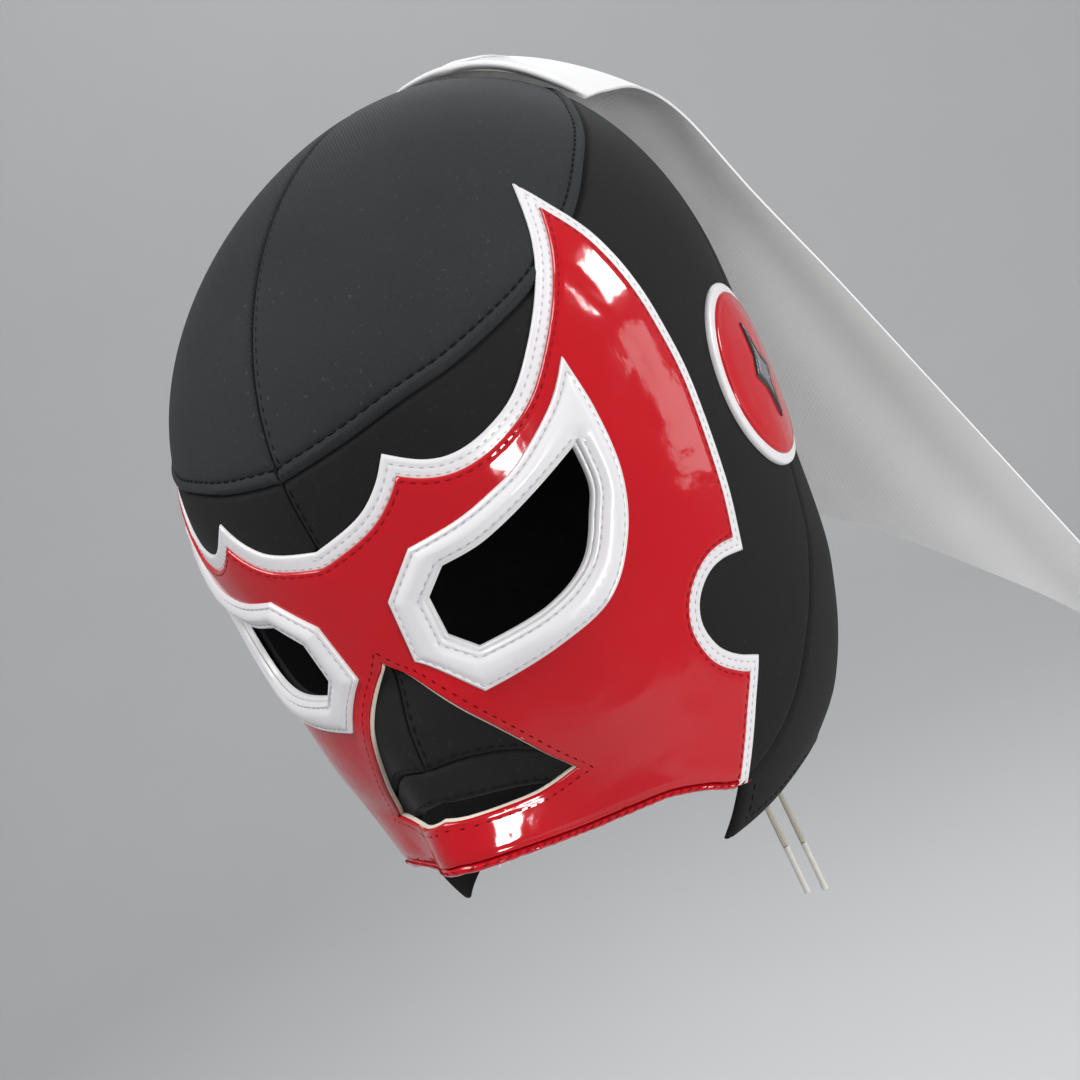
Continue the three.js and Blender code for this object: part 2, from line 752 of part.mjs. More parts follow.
// A four-pointed star, as a share of its full size
function star(share) {
  const points = [];
  for (const [a, b] of [[1, 0], [0, 1], [-1, 0], [0, -1]]) {
    points.push([(a * STAR_WIDTH) / 2, (b * STAR_LENGTH) / 2]);
    points.push([((a - b) * STAR_WAIST * STAR_WIDTH) / 2, ((b + a) * STAR_WAIST * STAR_LENGTH) / 2]);
  }
  return punch(onDisc(points.map(([a, b]) => [a * share, b * share])));
}

function earRim() {
  const ring = vinylLayer.intersect(circle(DISC_DIAMETER / 2));
  return geometryOf(ring.subtract(circle(DISC_DIAMETER / 2 - RIM_WIDTH)));
}

function earDisc() {
  return geometryOf(vinylLayer.intersect(circle(DISC_DIAMETER / 2 - RIM_WIDTH - GAP)));
}

function earStar() {
  const layerOfStar = layer(trimBase, STAR_THICKNESS).intersect(star(1));
  return geometryOf(layerOfStar.subtract(star(STAR_HOLE)));
}

function earStarCentre() {
  return geometryOf(layer(trimBase, STAR_THICKNESS).intersect(star(STAR_HOLE - STAR_CLEARANCE)));
}

// The cloth on the crown that hangs behind: a sheet over a grid of places
const DRAPE_COLUMNS_EACH_SIDE = 7;
const DRAPE_STEPS = 12;
const DRAPE_CLEARANCE = 1.8;

// How far outside the head a point lies
function offsetOf(point) {
  let low = -50;
  let high = 300;
  for (let i = 0; i < 40; i++) {
    const offset = (low + high) / 2;
    const s = sectionAt(point.z, offset);
    const reach = point.y < s.axis ? s.front : s.back;
    const inside = point.z < offset && (point.x / s.side) ** 2 + ((point.y - s.axis) / reach) ** 2 < 1;
    if (inside) high = offset;
    else low = offset;
  }
  return (low + high) / 2;
}

function drapePoint(across, along) {
  const rows = DRAPE_ROWS.length - 1;
  const i = Math.min(Math.floor(along * rows), rows - 1);
  const t = along * rows - i;
  const value = (name) => {
    const at = (k) => DRAPE_ROWS[THREE.MathUtils.clamp(k, 0, rows)][name];
    const spline = new THREE.SplineCurve([-1, 0, 1, 2].map((k) => new THREE.Vector2(k, at(i + k))));
    return spline.getPoint((1 + t) / 3).y;
  };
  const u = Math.abs(across);
  const back = THREE.MathUtils.lerp(value('centre_back'), value('edge_back'), u * u);
  const drop = THREE.MathUtils.lerp(value('centre_drop'), value('edge_drop'), u ** value('arch'));
  const x = across * value('edge_side') * HEAD_WIDTH;
  const point = new THREE.Vector3(x, back * HEAD_LENGTH, -drop * HOOD_HEIGHT);
  const least = CLOTH + DRAPE_CLEARANCE;
  const offset = offsetOf(point);
  if (offset < least) point.addScaledVector(point.clone().sub(DOME_CENTRE).normalize(), least - offset);
  return point;
}

function backCloth() {
  const wide = 2 * DRAPE_COLUMNS_EACH_SIDE + 1;
  const long = DRAPE_STEPS + 1;
  const inner = [];
  const outer = [];
  for (let r = 0; r < long; r++) {
    for (let c = 0; c < wide; c++) {
      const across = c / DRAPE_COLUMNS_EACH_SIDE - 1;
      const along = r / DRAPE_STEPS;
      const point = drapePoint(across, along);
      const nudge = 0.01;
      const u = drapePoint(across + nudge, along).sub(drapePoint(across - nudge, along));
      const v = drapePoint(across, Math.min(along + nudge, 1)).sub(drapePoint(across, Math.max(along - nudge, 0)));
      inner.push(point);
      outer.push(point.clone().addScaledVector(v.cross(u).normalize(), DRAPE_THICKNESS));
    }
  }
  const points = [...inner, ...outer];
  const shift = inner.length;
  const at = (r, c) => r * wide + c;
  const triangles = [];
  const quad = (a, b, c, d) => triangles.push([a, b, c], [a, c, d]);
  for (let r = 0; r + 1 < long; r++) {
    for (let c = 0; c + 1 < wide; c++) {
      const corners = [at(r, c), at(r, c + 1), at(r + 1, c + 1), at(r + 1, c)];
      quad(...corners);
      quad(...corners.map((k) => k + shift).reverse());
    }
  }
  const rim = [];
  for (let c = 0; c < wide; c++) rim.push(at(0, c));
  for (let r = 1; r < long; r++) rim.push(at(r, wide - 1));
  for (let c = wide - 2; c >= 0; c--) rim.push(at(long - 1, c));
  for (let r = long - 2; r > 0; r--) rim.push(at(r, 0));
  rim.forEach((a, i) => {
    const b = rim[(i + 1) % rim.length];
    quad(b, a, a + shift, b + shift);
  });
  return geometryFrom(points, triangles);
}

// The eyelets and the lace between them
const EYELET_SIDES = 8;

function eyelet() {
  const inner = EYELET_INNER / 2;
  const outer = EYELET_OUTER / 2;
  const profile = [[inner, 0], [outer, 0], [outer, EYELET_THICKNESS], [inner, EYELET_THICKNESS], [inner, 0]];
  return new THREE.LatheGeometry(profile.map(([r, h]) => new THREE.Vector2(r, h)), EYELET_SIDES);
}

// A lace's route: each chosen point is a step of its own, so that tight turns stay round
class Route extends THREE.CatmullRomCurve3 {
  getUtoTmapping(u) {
    return u;
  }
}

function tube(points, diameter) {
  const section = new THREE.Shape();
  for (let i = 0; i < LACE_SIDES; i++) {
    const angle = (2 * Math.PI * i) / LACE_SIDES;
    const x = (diameter / 2) * Math.cos(angle);
    const y = (diameter / 2) * Math.sin(angle);
    if (i === 0) section.moveTo(x, y);
    else section.lineTo(x, y);
  }
  section.closePath();
  return new THREE.ExtrudeGeometry(section, {
    steps: points.length - 1,
    extrudePath: new Route(points, false, 'centripetal'),
    curveSegments: 1,
  });
}

// Depth of the lace over and under the cloth, and where it turns in an eyelet
const LACE_PLAY = 0.5;
const LACE_OVER = CLOTH + EYELET_SEAT + EYELET_THICKNESS + GAP + LACE / 2;
const LACE_UNDER = -GAP - LACE_PLAY - LACE / 2;
const TURN_START = SLOT_WIDTH / 2 + EYELET_INSET - EYELET_INNER / 2;
const TURN_STEPS = 3;

function lacePoint(x, z, depth) {
  const { point, out } = laceFrame(Math.abs(x), z);
  if (x < 0) {
    point.x *= -1;
    out.x *= -1;
  }
  return point.addScaledVector(out, depth);
}

// One turn through an eyelet, from under the cloth to the outside
function laceTurn(side, pair) {
  const z = eyeletHeight(pair);
  const middle = (LACE_OVER + LACE_UNDER) / 2;
  const radius = (LACE_OVER - LACE_UNDER) / 2;
  const points = [];
  for (let i = 0; i <= TURN_STEPS; i++) {
    const angle = Math.PI * (i / TURN_STEPS - 0.5);
    const x = side * (TURN_START + radius * Math.cos(angle));
    points.push(lacePoint(x, z, middle + radius * Math.sin(angle)));
  }
  return points;
}

// Half of the lace, from the bar under the top pair to the last eyelet. The left
// half crosses over the right one in the slot.
function laceHalf(side) {
  const points = [];
  let from = side;
  for (let pair = 0; pair < EYELET_PAIRS; pair++) {
    const z = eyeletHeight(pair);
    points.push(...laceTurn(from, pair));
    if (pair === EYELET_PAIRS - 1) {
      points.push(lacePoint(from * (TURN_START - LACE), z, LACE_OVER));
      break;
    }
    const edge = SLOT_WIDTH / 2;
    const heightAt = (share) => THREE.MathUtils.lerp(z, eyeletHeight(pair + 1), share);
    const centreDepth = side > 0 ? LACE_OVER : LACE_OVER - LACE - 2 * GAP;
    points.push(lacePoint(from * edge, heightAt(0.25), LACE_OVER));
    points.push(lacePoint(0, heightAt(0.5), centreDepth));
    points.push(lacePoint(-from * edge, heightAt(0.75), LACE_UNDER));
    from = -from;
  }
  return points;
}

function backLace() {
  const right = laceHalf(-1);
  const bar = lacePoint(0, eyeletHeight(0), LACE_UNDER);
  return tube([...right.reverse(), bar, ...laceHalf(1)], LACE);
}

function laceEnd() {
  return tube(LACE_END_ROUTE.map((p) => new THREE.Vector3(...p)), LACE);
}

function aglet() {
  const [x, y, z] = LACE_END_ROUTE.at(-1);
  const geometry = new THREE.CylinderGeometry(AGLET_DIAMETER / 2, AGLET_DIAMETER / 2, AGLET_LENGTH, LACE_SIDES);
  geometry.rotateX(Math.PI / 2);
  geometry.translate(x, y, z - GAP - AGLET_LENGTH / 2);
  return geometry;
}

// The mask
const mask = new THREE.Group();

function add(name, geometry, finish) {
  const mesh = new THREE.Mesh(geometry, new THREE.MeshStandardMaterial(FINISH[finish]));
  mesh.name = name;
  mask.add(mesh);
  return mesh;
}

function addPair(name, geometry, finish) {
  add(`${name}_left`, geometry, finish);
  add(`${name}_right`, mirroredGeometry(geometry), finish);
}

addPair('crown_panel', crownPanel(), 'crown_cloth');
addPair('side_panel', sidePanel(), 'side_cloth');
addPair('nose_panel', nosePanel(), 'side_cloth');
add('lip_band', lipBand(), 'side_cloth');
addPair('rear_panel', rearPanel(), 'side_cloth');
add('face_panel', facePanel(), 'red_vinyl');
add('face_border', faceBorder(), 'white_vinyl');
add('chin_hem', chinHem(), 'red_vinyl');
addPair('eye_trim', eyeTrim(), 'white_vinyl');
addPair('ear_rim', earRim(), 'white_vinyl');
addPair('ear_disc', earDisc(), 'red_vinyl');
addPair('ear_star', earStar(), 'star_black');
addPair('ear_star_centre', earStarCentre(), 'star_grey');
add('back_cloth', backCloth(), 'white_cloth');
add('back_lace', backLace(), 'lace');
addPair('lace_end', mergeVertices(laceEnd().deleteAttribute('uv').deleteAttribute('normal')), 'lace');
addPair('aglet', mergeVertices(aglet().deleteAttribute('uv').deleteAttribute('normal')), 'lace');

for (let pair = 0; pair < EYELET_PAIRS; pair++) {
  const { point, out } = eyeletPlace(pair);
  for (const side of ['left', 'right']) {
    const ring = add(`eyelet_${side}_${pair + 1}`, eyelet(), 'eyelet');
    ring.position.copy(point).addScaledVector(out, CLOTH + EYELET_SEAT);
    if (side === 'right') ring.position.x *= -1;
    const way = side === 'right' ? new THREE.Vector3(-out.x, out.y, out.z) : out;
    ring.quaternion.setFromUnitVectors(new THREE.Vector3(0, 1, 0), way);
  }
}

export default mask;
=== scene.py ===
# %% [markdown]
# A luchador mask is a sewn hood. Stretch cloth panels wrap the head, a face of glossy
# vinyl is stitched on top, and laces close the back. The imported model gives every
# piece its place. This lesson replaces its plain solids with pieces that have rounded
# edges, seams, stitches and real finishes, all in the same frame.

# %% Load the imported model
import json
import math
import bpy
import numpy as np
from mathutils import Matrix, Vector, kdtree
from mathutils.geometry import delaunay_2d_cdt

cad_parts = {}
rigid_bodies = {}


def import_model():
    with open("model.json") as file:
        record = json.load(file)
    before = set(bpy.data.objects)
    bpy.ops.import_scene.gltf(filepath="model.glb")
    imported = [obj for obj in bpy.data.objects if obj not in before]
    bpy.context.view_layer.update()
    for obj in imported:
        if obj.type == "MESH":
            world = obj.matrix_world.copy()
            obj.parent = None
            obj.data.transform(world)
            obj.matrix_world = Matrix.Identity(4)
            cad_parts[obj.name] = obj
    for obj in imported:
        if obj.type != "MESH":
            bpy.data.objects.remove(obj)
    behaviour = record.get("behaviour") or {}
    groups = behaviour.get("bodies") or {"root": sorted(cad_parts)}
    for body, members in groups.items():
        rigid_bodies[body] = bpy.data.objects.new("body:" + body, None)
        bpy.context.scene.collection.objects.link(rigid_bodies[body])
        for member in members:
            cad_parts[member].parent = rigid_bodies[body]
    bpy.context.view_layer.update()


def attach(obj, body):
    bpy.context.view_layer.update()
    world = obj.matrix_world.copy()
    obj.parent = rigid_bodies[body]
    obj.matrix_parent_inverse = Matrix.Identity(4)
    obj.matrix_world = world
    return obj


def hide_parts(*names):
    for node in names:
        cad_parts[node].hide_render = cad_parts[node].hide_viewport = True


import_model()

MM = 0.001
packed_names = set(bpy.data.objects.keys())

# %% [markdown]
# The camera stands where the photograph was taken from: to the wearer's left of the
# face, a little above the middle, and rolled so that the crown leans to the left. Its
# axes are written out as a matrix, because a rolled camera is hard to read as angles.

# %% Camera
AZIMUTH, ELEVATION, ROLL = (math.radians(a) for a in (28.2, 10.7, -26.2))
LENS, SENSOR, CAMERA_PLACE = 44.0, 36.0, (0.1759, -0.3619, -0.0584)
camera_data = bpy.data.cameras.new("camera")
camera_data.lens, camera_data.sensor_width = LENS, SENSOR
camera = bpy.data.objects.new("camera", camera_data)
bpy.context.collection.objects.link(camera)
back = Vector((
    math.sin(AZIMUTH) * math.cos(ELEVATION),
    -math.cos(AZIMUTH) * math.cos(ELEVATION),
    math.sin(ELEVATION),
))
level_right = Vector((0, 0, 1)).cross(back).normalized()
level_up = back.cross(level_right)
camera_right = level_right * math.cos(ROLL) + level_up * math.sin(ROLL)
camera_up = level_up * math.cos(ROLL) - level_right * math.sin(ROLL)
axes = Matrix((camera_right, camera_up, back)).transposed().to_4x4()
camera.matrix_world = Matrix.Translation(CAMERA_PLACE) @ axes
bpy.context.scene.camera = camera
print("camera at", tuple(round(v, 3) for v in camera.location))

# %% [markdown]
# The studio is one pale bowl, so that no horizon line shows behind the mask from any
# side. A circle is filled, its rim is pulled up, and a bevel turns the corner between
# floor and wall into a sweep. A flat plane would be simpler, but its far edge shows.

# %% Studio bowl
FLOOR, BOWL, SWEEP = -1.1, 4.2, 1.6


def start_clean():
    """Nothing may stay selected, because an operator acts on all that is."""
    if bpy.context.object and bpy.context.object.mode != "OBJECT":
        bpy.ops.object.mode_set(mode="OBJECT")
    bpy.ops.object.select_all(action="DESELECT")


def select_only(piece):
    start_clean()
    piece.select_set(True)
    bpy.context.view_layer.objects.active = piece


start_clean()
bpy.ops.mesh.primitive_circle_add(
    vertices=96, radius=BOWL, fill_type="NGON", location=(0, 0, FLOOR),
)
floor = bpy.context.object
floor.name = "studio_floor"
bpy.ops.object.mode_set(mode="EDIT")
bpy.ops.mesh.select_all(action="SELECT")
bpy.ops.mesh.extrude_region_move(TRANSFORM_OT_translate={"value": (0, 0, BOWL)})
bpy.ops.mesh.delete(type="ONLY_FACE")
bpy.ops.object.mode_set(mode="OBJECT")
bpy.ops.object.transform_apply(location=True, rotation=True, scale=True)
print("studio faces:", len(floor.data.polygons))

# %% Round the corner of the bowl
bpy.ops.object.mode_set(mode="EDIT")
bpy.ops.mesh.select_all(action="DESELECT")
bpy.ops.object.mode_set(mode="OBJECT")
for corner in floor.data.edges:
    ends = [floor.data.vertices[v].co.z for v in corner.vertices]
    corner.select = all(abs(z - FLOOR) < 0.01 for z in ends)
bpy.ops.object.mode_set(mode="EDIT")
bpy.ops.mesh.select_mode(type="EDGE")
bpy.ops.mesh.bevel(offset=SWEEP, segments=16, affect="EDGES")
bpy.ops.mesh.select_all(action="SELECT")
bpy.ops.mesh.normals_make_consistent(inside=True)
bpy.ops.object.mode_set(mode="OBJECT")
bpy.ops.object.shade_smooth()
print("bowl faces:", len(floor.data.polygons))

# %% [markdown]
# Soft lamps light the mask. A small bright box makes the white patch on the vinyl of
# the brow, and a dimmer one the paler patch below it. A wide lamp hangs above, one
# stands low at the side, a faint one behind draws the edge of the hood, and another
# washes the wall. The world fills the shadows with a little even light.

# %% Lamps


def lamp(name, place, aim, size, power):
    data = bpy.data.lights.new(name, "AREA")
    data.shape = "RECTANGLE"
    data.size, data.size_y = size
    data.energy = power
    made = bpy.data.objects.new(name, data)
    bpy.context.collection.objects.link(made)
    made.visible_camera = False
    turned = (Vector(aim) - Vector(place)).to_track_quat("-Z", "Y")
    made.matrix_world = Matrix.Translation(place) @ turned.to_matrix().to_4x4()


ROOM_TINT, ROOM_LIGHT = (0.9, 0.93, 1.0, 1), 0.36
MIDDLE = (0, -0.03, -0.12)
lamp("forehead_box", (1.01, 0.42, 0.17), (0.066, -0.076, -0.068), (0.24, 0.3), 6)
lamp("soft_patch", (1.35, 0.62, -0.3), (0.067, -0.075, -0.09), (0.36, 0.3), 0.8)
lamp("wide_top", (-0.35, -0.75, 1.25), MIDDLE, (1.0, 0.8), 25)
lamp("low_side", (1.45, -0.95, -0.4), MIDDLE, (0.3, 0.3), 14)
lamp("rim_back", (-0.3, 1.2, 0.5), MIDDLE, (0.7, 0.7), 8)
lamp("wall_wash", (-0.4, 1.7, 2.4), (-1.6, 4.0, 0.2), (1.4, 0.8), 24)
world = bpy.data.worlds.new("soft_room")
world.use_nodes = True
room = world.node_tree.nodes["Background"].inputs
room["Color"].default_value, room["Strength"].default_value = ROOM_TINT, ROOM_LIGHT
bpy.context.scene.world = world
bpy.context.scene.view_settings.view_transform = "Standard"

# %% [markdown]
# Materials are built from nodes. A small helper puts one node down and wires or sets
# its inputs, so that each finish below reads as a short recipe.

# %% A helper for nodes


def put(tree, kind, inputs=None, **settings):
    made = tree.nodes.new(kind)
    for key, value in settings.items():
        setattr(made, key, value)
    for key, value in (inputs or {}).items():
        if isinstance(value, bpy.types.NodeSocket):
            tree.links.new(value, made.inputs[key])
        else:
            made.inputs[key].default_value = value
    return made


def maths(tree, operation, a, b=0.0):
    return put(tree, "ShaderNodeMath", {0: a, 1: b}, operation=operation).outputs[0]


def blend(tree, share, a, b):
    """A colour between two others."""
    return put(tree, "ShaderNodeMix", {0: share, 6: a, 7: b}, data_type="RGBA").outputs[2]


def noise(tree, place, scale, detail, distortion=0.0):
    """The value and the colour of a noise texture."""
    return put(tree, "ShaderNodeTexNoise", {
        "Vector": place, "Scale": scale, "Detail": detail, "Distortion": distortion,
    }).outputs


def spread(tree, value, low, high, first=0.0, last=1.0):
    """Turns a value between low and high into one between first and last."""
    return put(tree, "ShaderNodeMapRange", {
        "Value": value, "From Min": low, "From Max": high, "To Min": first, "To Max": last,
    }).outputs[0]


def object_place(tree):
    return put(tree, "ShaderNodeTexCoord").outputs["Object"]


def group(name, inputs, outputs):
    made = bpy.data.node_groups.new(name, "ShaderNodeTree")
    sort = "NodeSocketFloat"
    for title, value in inputs.items():
        made.interface.new_socket(title, in_out="INPUT", socket_type=sort).default_value = value
    for title in outputs:
        made.interface.new_socket(title, in_out="OUTPUT", socket_type=sort)
    return made, made.nodes.new("NodeGroupInput"), made.nodes.new("NodeGroupOutput")


# %% [markdown]
# Knitted and woven cloth is a raised pattern of ribs. The group draws two crossing
# sets of ribs on the piece's own flat pattern, whose unit is a centimetre, and
# adds fine fuzz. A picture of cloth would do as well, but it can't be scaled freely.

# %% Weave group
FUZZ_SCALE, RIB_SHARE = 26.0, 0.3
weave, w_in, w_out = group(
    "weave", {"Pitch": 0.08, "Lean": 0.9, "Cross": 0.35}, ["Height", "Fuzz"],
)
w_map = put(weave, "ShaderNodeUVMap", uv_map="UVMap").outputs[0]
w_turn = put(
    weave, "ShaderNodeVectorRotate", {"Vector": w_map, "Angle": w_in.outputs["Lean"]},
    rotation_type="Z_AXIS",
).outputs[0]
w_axes = put(weave, "ShaderNodeSeparateXYZ", {0: w_turn}).outputs
w_rate = maths(weave, "DIVIDE", 2 * math.pi, w_in.outputs["Pitch"])
w_rib = maths(weave, "SINE", maths(weave, "MULTIPLY", w_axes["X"], w_rate))
w_thread = maths(weave, "SINE", maths(weave, "MULTIPLY", w_axes["Y"], w_rate))
w_crossed = maths(weave, "MULTIPLY", w_thread, w_in.outputs["Cross"])
w_sum = maths(weave, "ADD", w_rib, w_crossed)
w_fuzz = noise(weave, w_map, FUZZ_SCALE, 3.0)[0]
w_high = maths(weave, "ADD", maths(weave, "MULTIPLY", w_sum, RIB_SHARE), w_fuzz)
weave.links.new(w_high, w_out.inputs["Height"])
weave.links.new(w_fuzz, w_out.inputs["Fuzz"])
print("weave group nodes:", len(weave.nodes))

# %% [markdown]
# No surface has one even tone. The mottle group gives a slow cloud for the tone and
# a few small specks for lint, both in the object's own coordinates, so they cross
# from one panel to the next as handling marks do.

# %% Mottle group
FINE_SCALE, LINT_FROM, LINT_FULL = 900.0, 0.7, 0.78
mottle, m_in, m_out = group("mottle", {"Scale": 30.0}, ["Cloud", "Lint"])
m_place = object_place(mottle)
m_cloud = noise(mottle, m_place, m_in.outputs["Scale"], 5.0)[0]
m_fine = noise(mottle, m_place, FINE_SCALE, 1.0)[0]
mottle.links.new(m_cloud, m_out.inputs["Cloud"])
mottle.links.new(spread(mottle, m_fine, LINT_FROM, LINT_FULL), m_out.inputs["Lint"])
print("mottle group nodes:", len(mottle.nodes))

# %% [markdown]
# Every sewn piece carries an attribute called edge, the distance to its nearest cut
# edge in millimetres. Edges rub and catch dust, so this group turns the distance into
# a mask that is broken up by noise.

# %% Edge wear group
wear, e_in, e_out = group("edge_wear", {"Reach": 1.5}, ["Mask"])
e_far = put(wear, "ShaderNodeAttribute", attribute_name="edge").outputs["Fac"]
e_near = spread(wear, e_far, 0.0, e_in.outputs["Reach"], 1.0, 0.0)
e_broken = noise(wear, object_place(wear), 260.0, 3.0)[0]
wear.links.new(maths(wear, "MULTIPLY", e_near, e_broken), e_out.inputs["Mask"])
print("edge wear group nodes:", len(wear.nodes))

# %% [markdown]
# Patent vinyl is a glossy skin on a soft backing. It isn't flat: it swells slowly,
# and puckers and creases where it is drawn tight. Noises of three sizes and a soft
# cell pattern, bent by one more noise, give the height that breaks up reflections.

# %% Vinyl skin group
CREASE_SCALE, CREASE_SOFT, CREASE_BEND = 42.0, 0.25, 0.012
CREASE_SHARE, PUCKER_SHARE, PEEL_SHARE = 0.24, 0.08, 0.006
skin_group, s_in, s_out = group(
    "vinyl_skin", {"Swell": 28.0, "Pucker": 140.0}, ["Height", "Haze"],
)
s_place = object_place(skin_group)
s_swell = noise(skin_group, s_place, s_in.outputs["Swell"], 2.0, 0.6)[0]
s_pucker = noise(skin_group, s_place, s_in.outputs["Pucker"], 2.0)[0]
s_peel = noise(skin_group, s_place, FINE_SCALE, 0.0)[0]
s_lean = noise(skin_group, s_place, 60.0, 1.0)[1]
s_shift = put(
    skin_group, "ShaderNodeVectorMath", {0: s_lean, "Scale": CREASE_BEND}, operation="SCALE",
).outputs[0]
s_bent = put(
    skin_group, "ShaderNodeVectorMath", {0: s_place, 1: s_shift}, operation="ADD",
).outputs[0]
s_crease = put(skin_group, "ShaderNodeTexVoronoi", {
    "Vector": s_bent, "Scale": CREASE_SCALE, "Smoothness": CREASE_SOFT,
}, feature="SMOOTH_F1").outputs[0]
s_high = s_swell
for layer, share in ((s_crease, CREASE_SHARE), (s_pucker, PUCKER_SHARE), (s_peel, PEEL_SHARE)):
    s_high = maths(skin_group, "ADD", s_high, maths(skin_group, "MULTIPLY", layer, share))
skin_group.links.new(s_high, s_out.inputs["Height"])
skin_group.links.new(s_pucker, s_out.inputs["Haze"])
print("vinyl skin group nodes:", len(skin_group.nodes))

# %% [markdown]
# Each finish starts from the Principled shader. What is the same all over, such as
# sheen or coat, is set on the shader itself, and what changes over the surface comes
# from the groups.

# %% Helpers for finishes


def finish(name, **sockets):
    made = bpy.data.materials.new(name)
    made.use_nodes = True
    shader = made.node_tree.nodes["Principled BSDF"]
    for key, value in sockets.items():
        shader.inputs[key.replace("_", " ")].default_value = value
    return made, made.node_tree, shader


def use(tree, tool, **values):
    made = tree.nodes.new("ShaderNodeGroup")
    made.node_tree = tool
    for key, value in values.items():
        made.inputs[key].default_value = value
    return made.outputs


def raise_surface(tree, shader, height, depth):
    bump = put(tree, "ShaderNodeBump", {"Height": height, "Distance": depth, "Strength": 1.0})
    tree.links.new(bump.outputs[0], shader.inputs["Normal"])


def rough_from(tree, shader, value, rough):
    tree.links.new(spread(tree, value, 0.0, 1.0, *rough), shader.inputs["Roughness"])


def tone_from(tree, shader, cloud, dark, light, *layers):
    """A clouded colour under layers, each a mask, its strength and its colour."""
    tone = blend(tree, cloud, (*dark, 1), (*light, 1))
    for mask, strength, colour in layers:
        tone = blend(tree, maths(tree, "MULTIPLY", mask, strength), tone, (*colour, 1))
    tree.links.new(tone, shader.inputs["Base Color"])


# %% Cloth finishes
THROUGH_DEPTH, LINT_TONE, RUB_TONE = 0.002, (0.12,) * 3, (0.1,) * 3


def cloth(
    name, dark, light, pitch, lean, depth,
    rough=(0.75, 0.95), lint=0.0, sheen=0.03, through=0.0,
):
    """Woven or knitted cloth; through is the share of light that passes into it."""
    made, tree, shader = finish(
        name, Specular_IOR_Level=0.15, Sheen_Weight=sheen, Sheen_Roughness=0.5,
        Subsurface_Weight=through, Subsurface_Radius=(1, 1, 1), Subsurface_Scale=THROUGH_DEPTH,
    )
    ribs = use(tree, weave, Pitch=pitch, Lean=lean)
    marks = use(tree, mottle, Scale=22.0)
    worn = use(tree, wear, Reach=1.2)
    tone_from(
        tree, shader, marks["Cloud"], dark, light,
        (marks["Lint"], lint, LINT_TONE), (worn["Mask"], 0.1, RUB_TONE),
    )
    rough_from(tree, shader, ribs["Fuzz"], rough)
    raise_surface(tree, shader, ribs["Height"], depth)
    return made


crown_cloth = cloth(
    "crown_cloth", (0.016, 0.017, 0.019), (0.029, 0.031, 0.034), 0.085, 2.4, 0.00011, lint=0.25,
)
side_cloth = cloth(
    "side_cloth", (0.007, 0.0074, 0.007), (0.013, 0.0134, 0.0125), 0.09, 1.2, 0.00005,
    lint=0.1, sheen=0.02,
)
lining = cloth(
    "edge_backing", (0.66, 0.58, 0.48), (0.78, 0.7, 0.6), 0.06, 0.3, 0.0001, sheen=0.0,
)
white_cloth = cloth(
    "white_cloth", (0.62, 0.62, 0.61), (0.74, 0.74, 0.73), 0.12, 0.7, 0.00004,
    rough=(0.8, 0.95), sheen=0.05, through=0.5,
)
lace_cloth = cloth(
    "lace", (0.6, 0.56, 0.46), (0.72, 0.68, 0.58), 0.07, 0.785, 0.0003, rough=(0.7, 0.85),
)
print("cloth finishes made")

# %% Vinyl finishes


def vinyl(name, dark, light, rough, depth, coat, dust):
    made, tree, shader = finish(name, Coat_Weight=coat, Coat_Roughness=0.06, IOR=1.5)
    folds = use(tree, skin_group)
    marks = use(tree, mottle, Scale=18.0)
    worn = use(tree, wear, Reach=1.0)
    tone_from(tree, shader, marks["Cloud"], dark, light, (worn["Mask"], 0.5, dust))
    rough_from(tree, shader, folds["Haze"], rough)
    raise_surface(tree, shader, folds["Height"], depth)
    return made


red_vinyl = vinyl(
    "red_vinyl", (0.44, 0.003, 0.008), (0.54, 0.005, 0.012), (0.05, 0.14), 0.0015, 0.0,
    (0.3, 0.003, 0.006),
)
white_vinyl = vinyl(
    "white_vinyl", (0.68, 0.665, 0.675), (0.78, 0.765, 0.775), (0.28, 0.42), 0.0005, 0.25,
    (0.5, 0.49, 0.48),
)
star_black = vinyl(
    "star_black", (0.008, 0.008, 0.009), (0.02, 0.02, 0.022), (0.2, 0.38), 0.0004, 0.3,
    (0.05, 0.05, 0.05),
)
star_grey = vinyl(
    "star_grey", (0.1, 0.1, 0.108), (0.2, 0.2, 0.21), (0.25, 0.4), 0.0004, 0.3, (0.3, 0.3, 0.3),
)
print("vinyl finishes made")

# %% Thread, metal, plastic and paint


def clouded(name, dark, light, scale, rough, depth, **sockets):
    """A finish whose colour, roughness and fine relief all come from one cloud."""
    made, tree, shader = finish(name, **sockets)
    cloud = use(tree, mottle, Scale=scale)["Cloud"]
    tone_from(tree, shader, cloud, dark, light)
    rough_from(tree, shader, cloud, rough)
    if depth:
        raise_surface(tree, shader, cloud, depth)
    return made


def thread(name, dark, light):
    return clouded(name, dark, light, 700.0, (0.5, 0.8), 0.0001, Specular_IOR_Level=0.15)


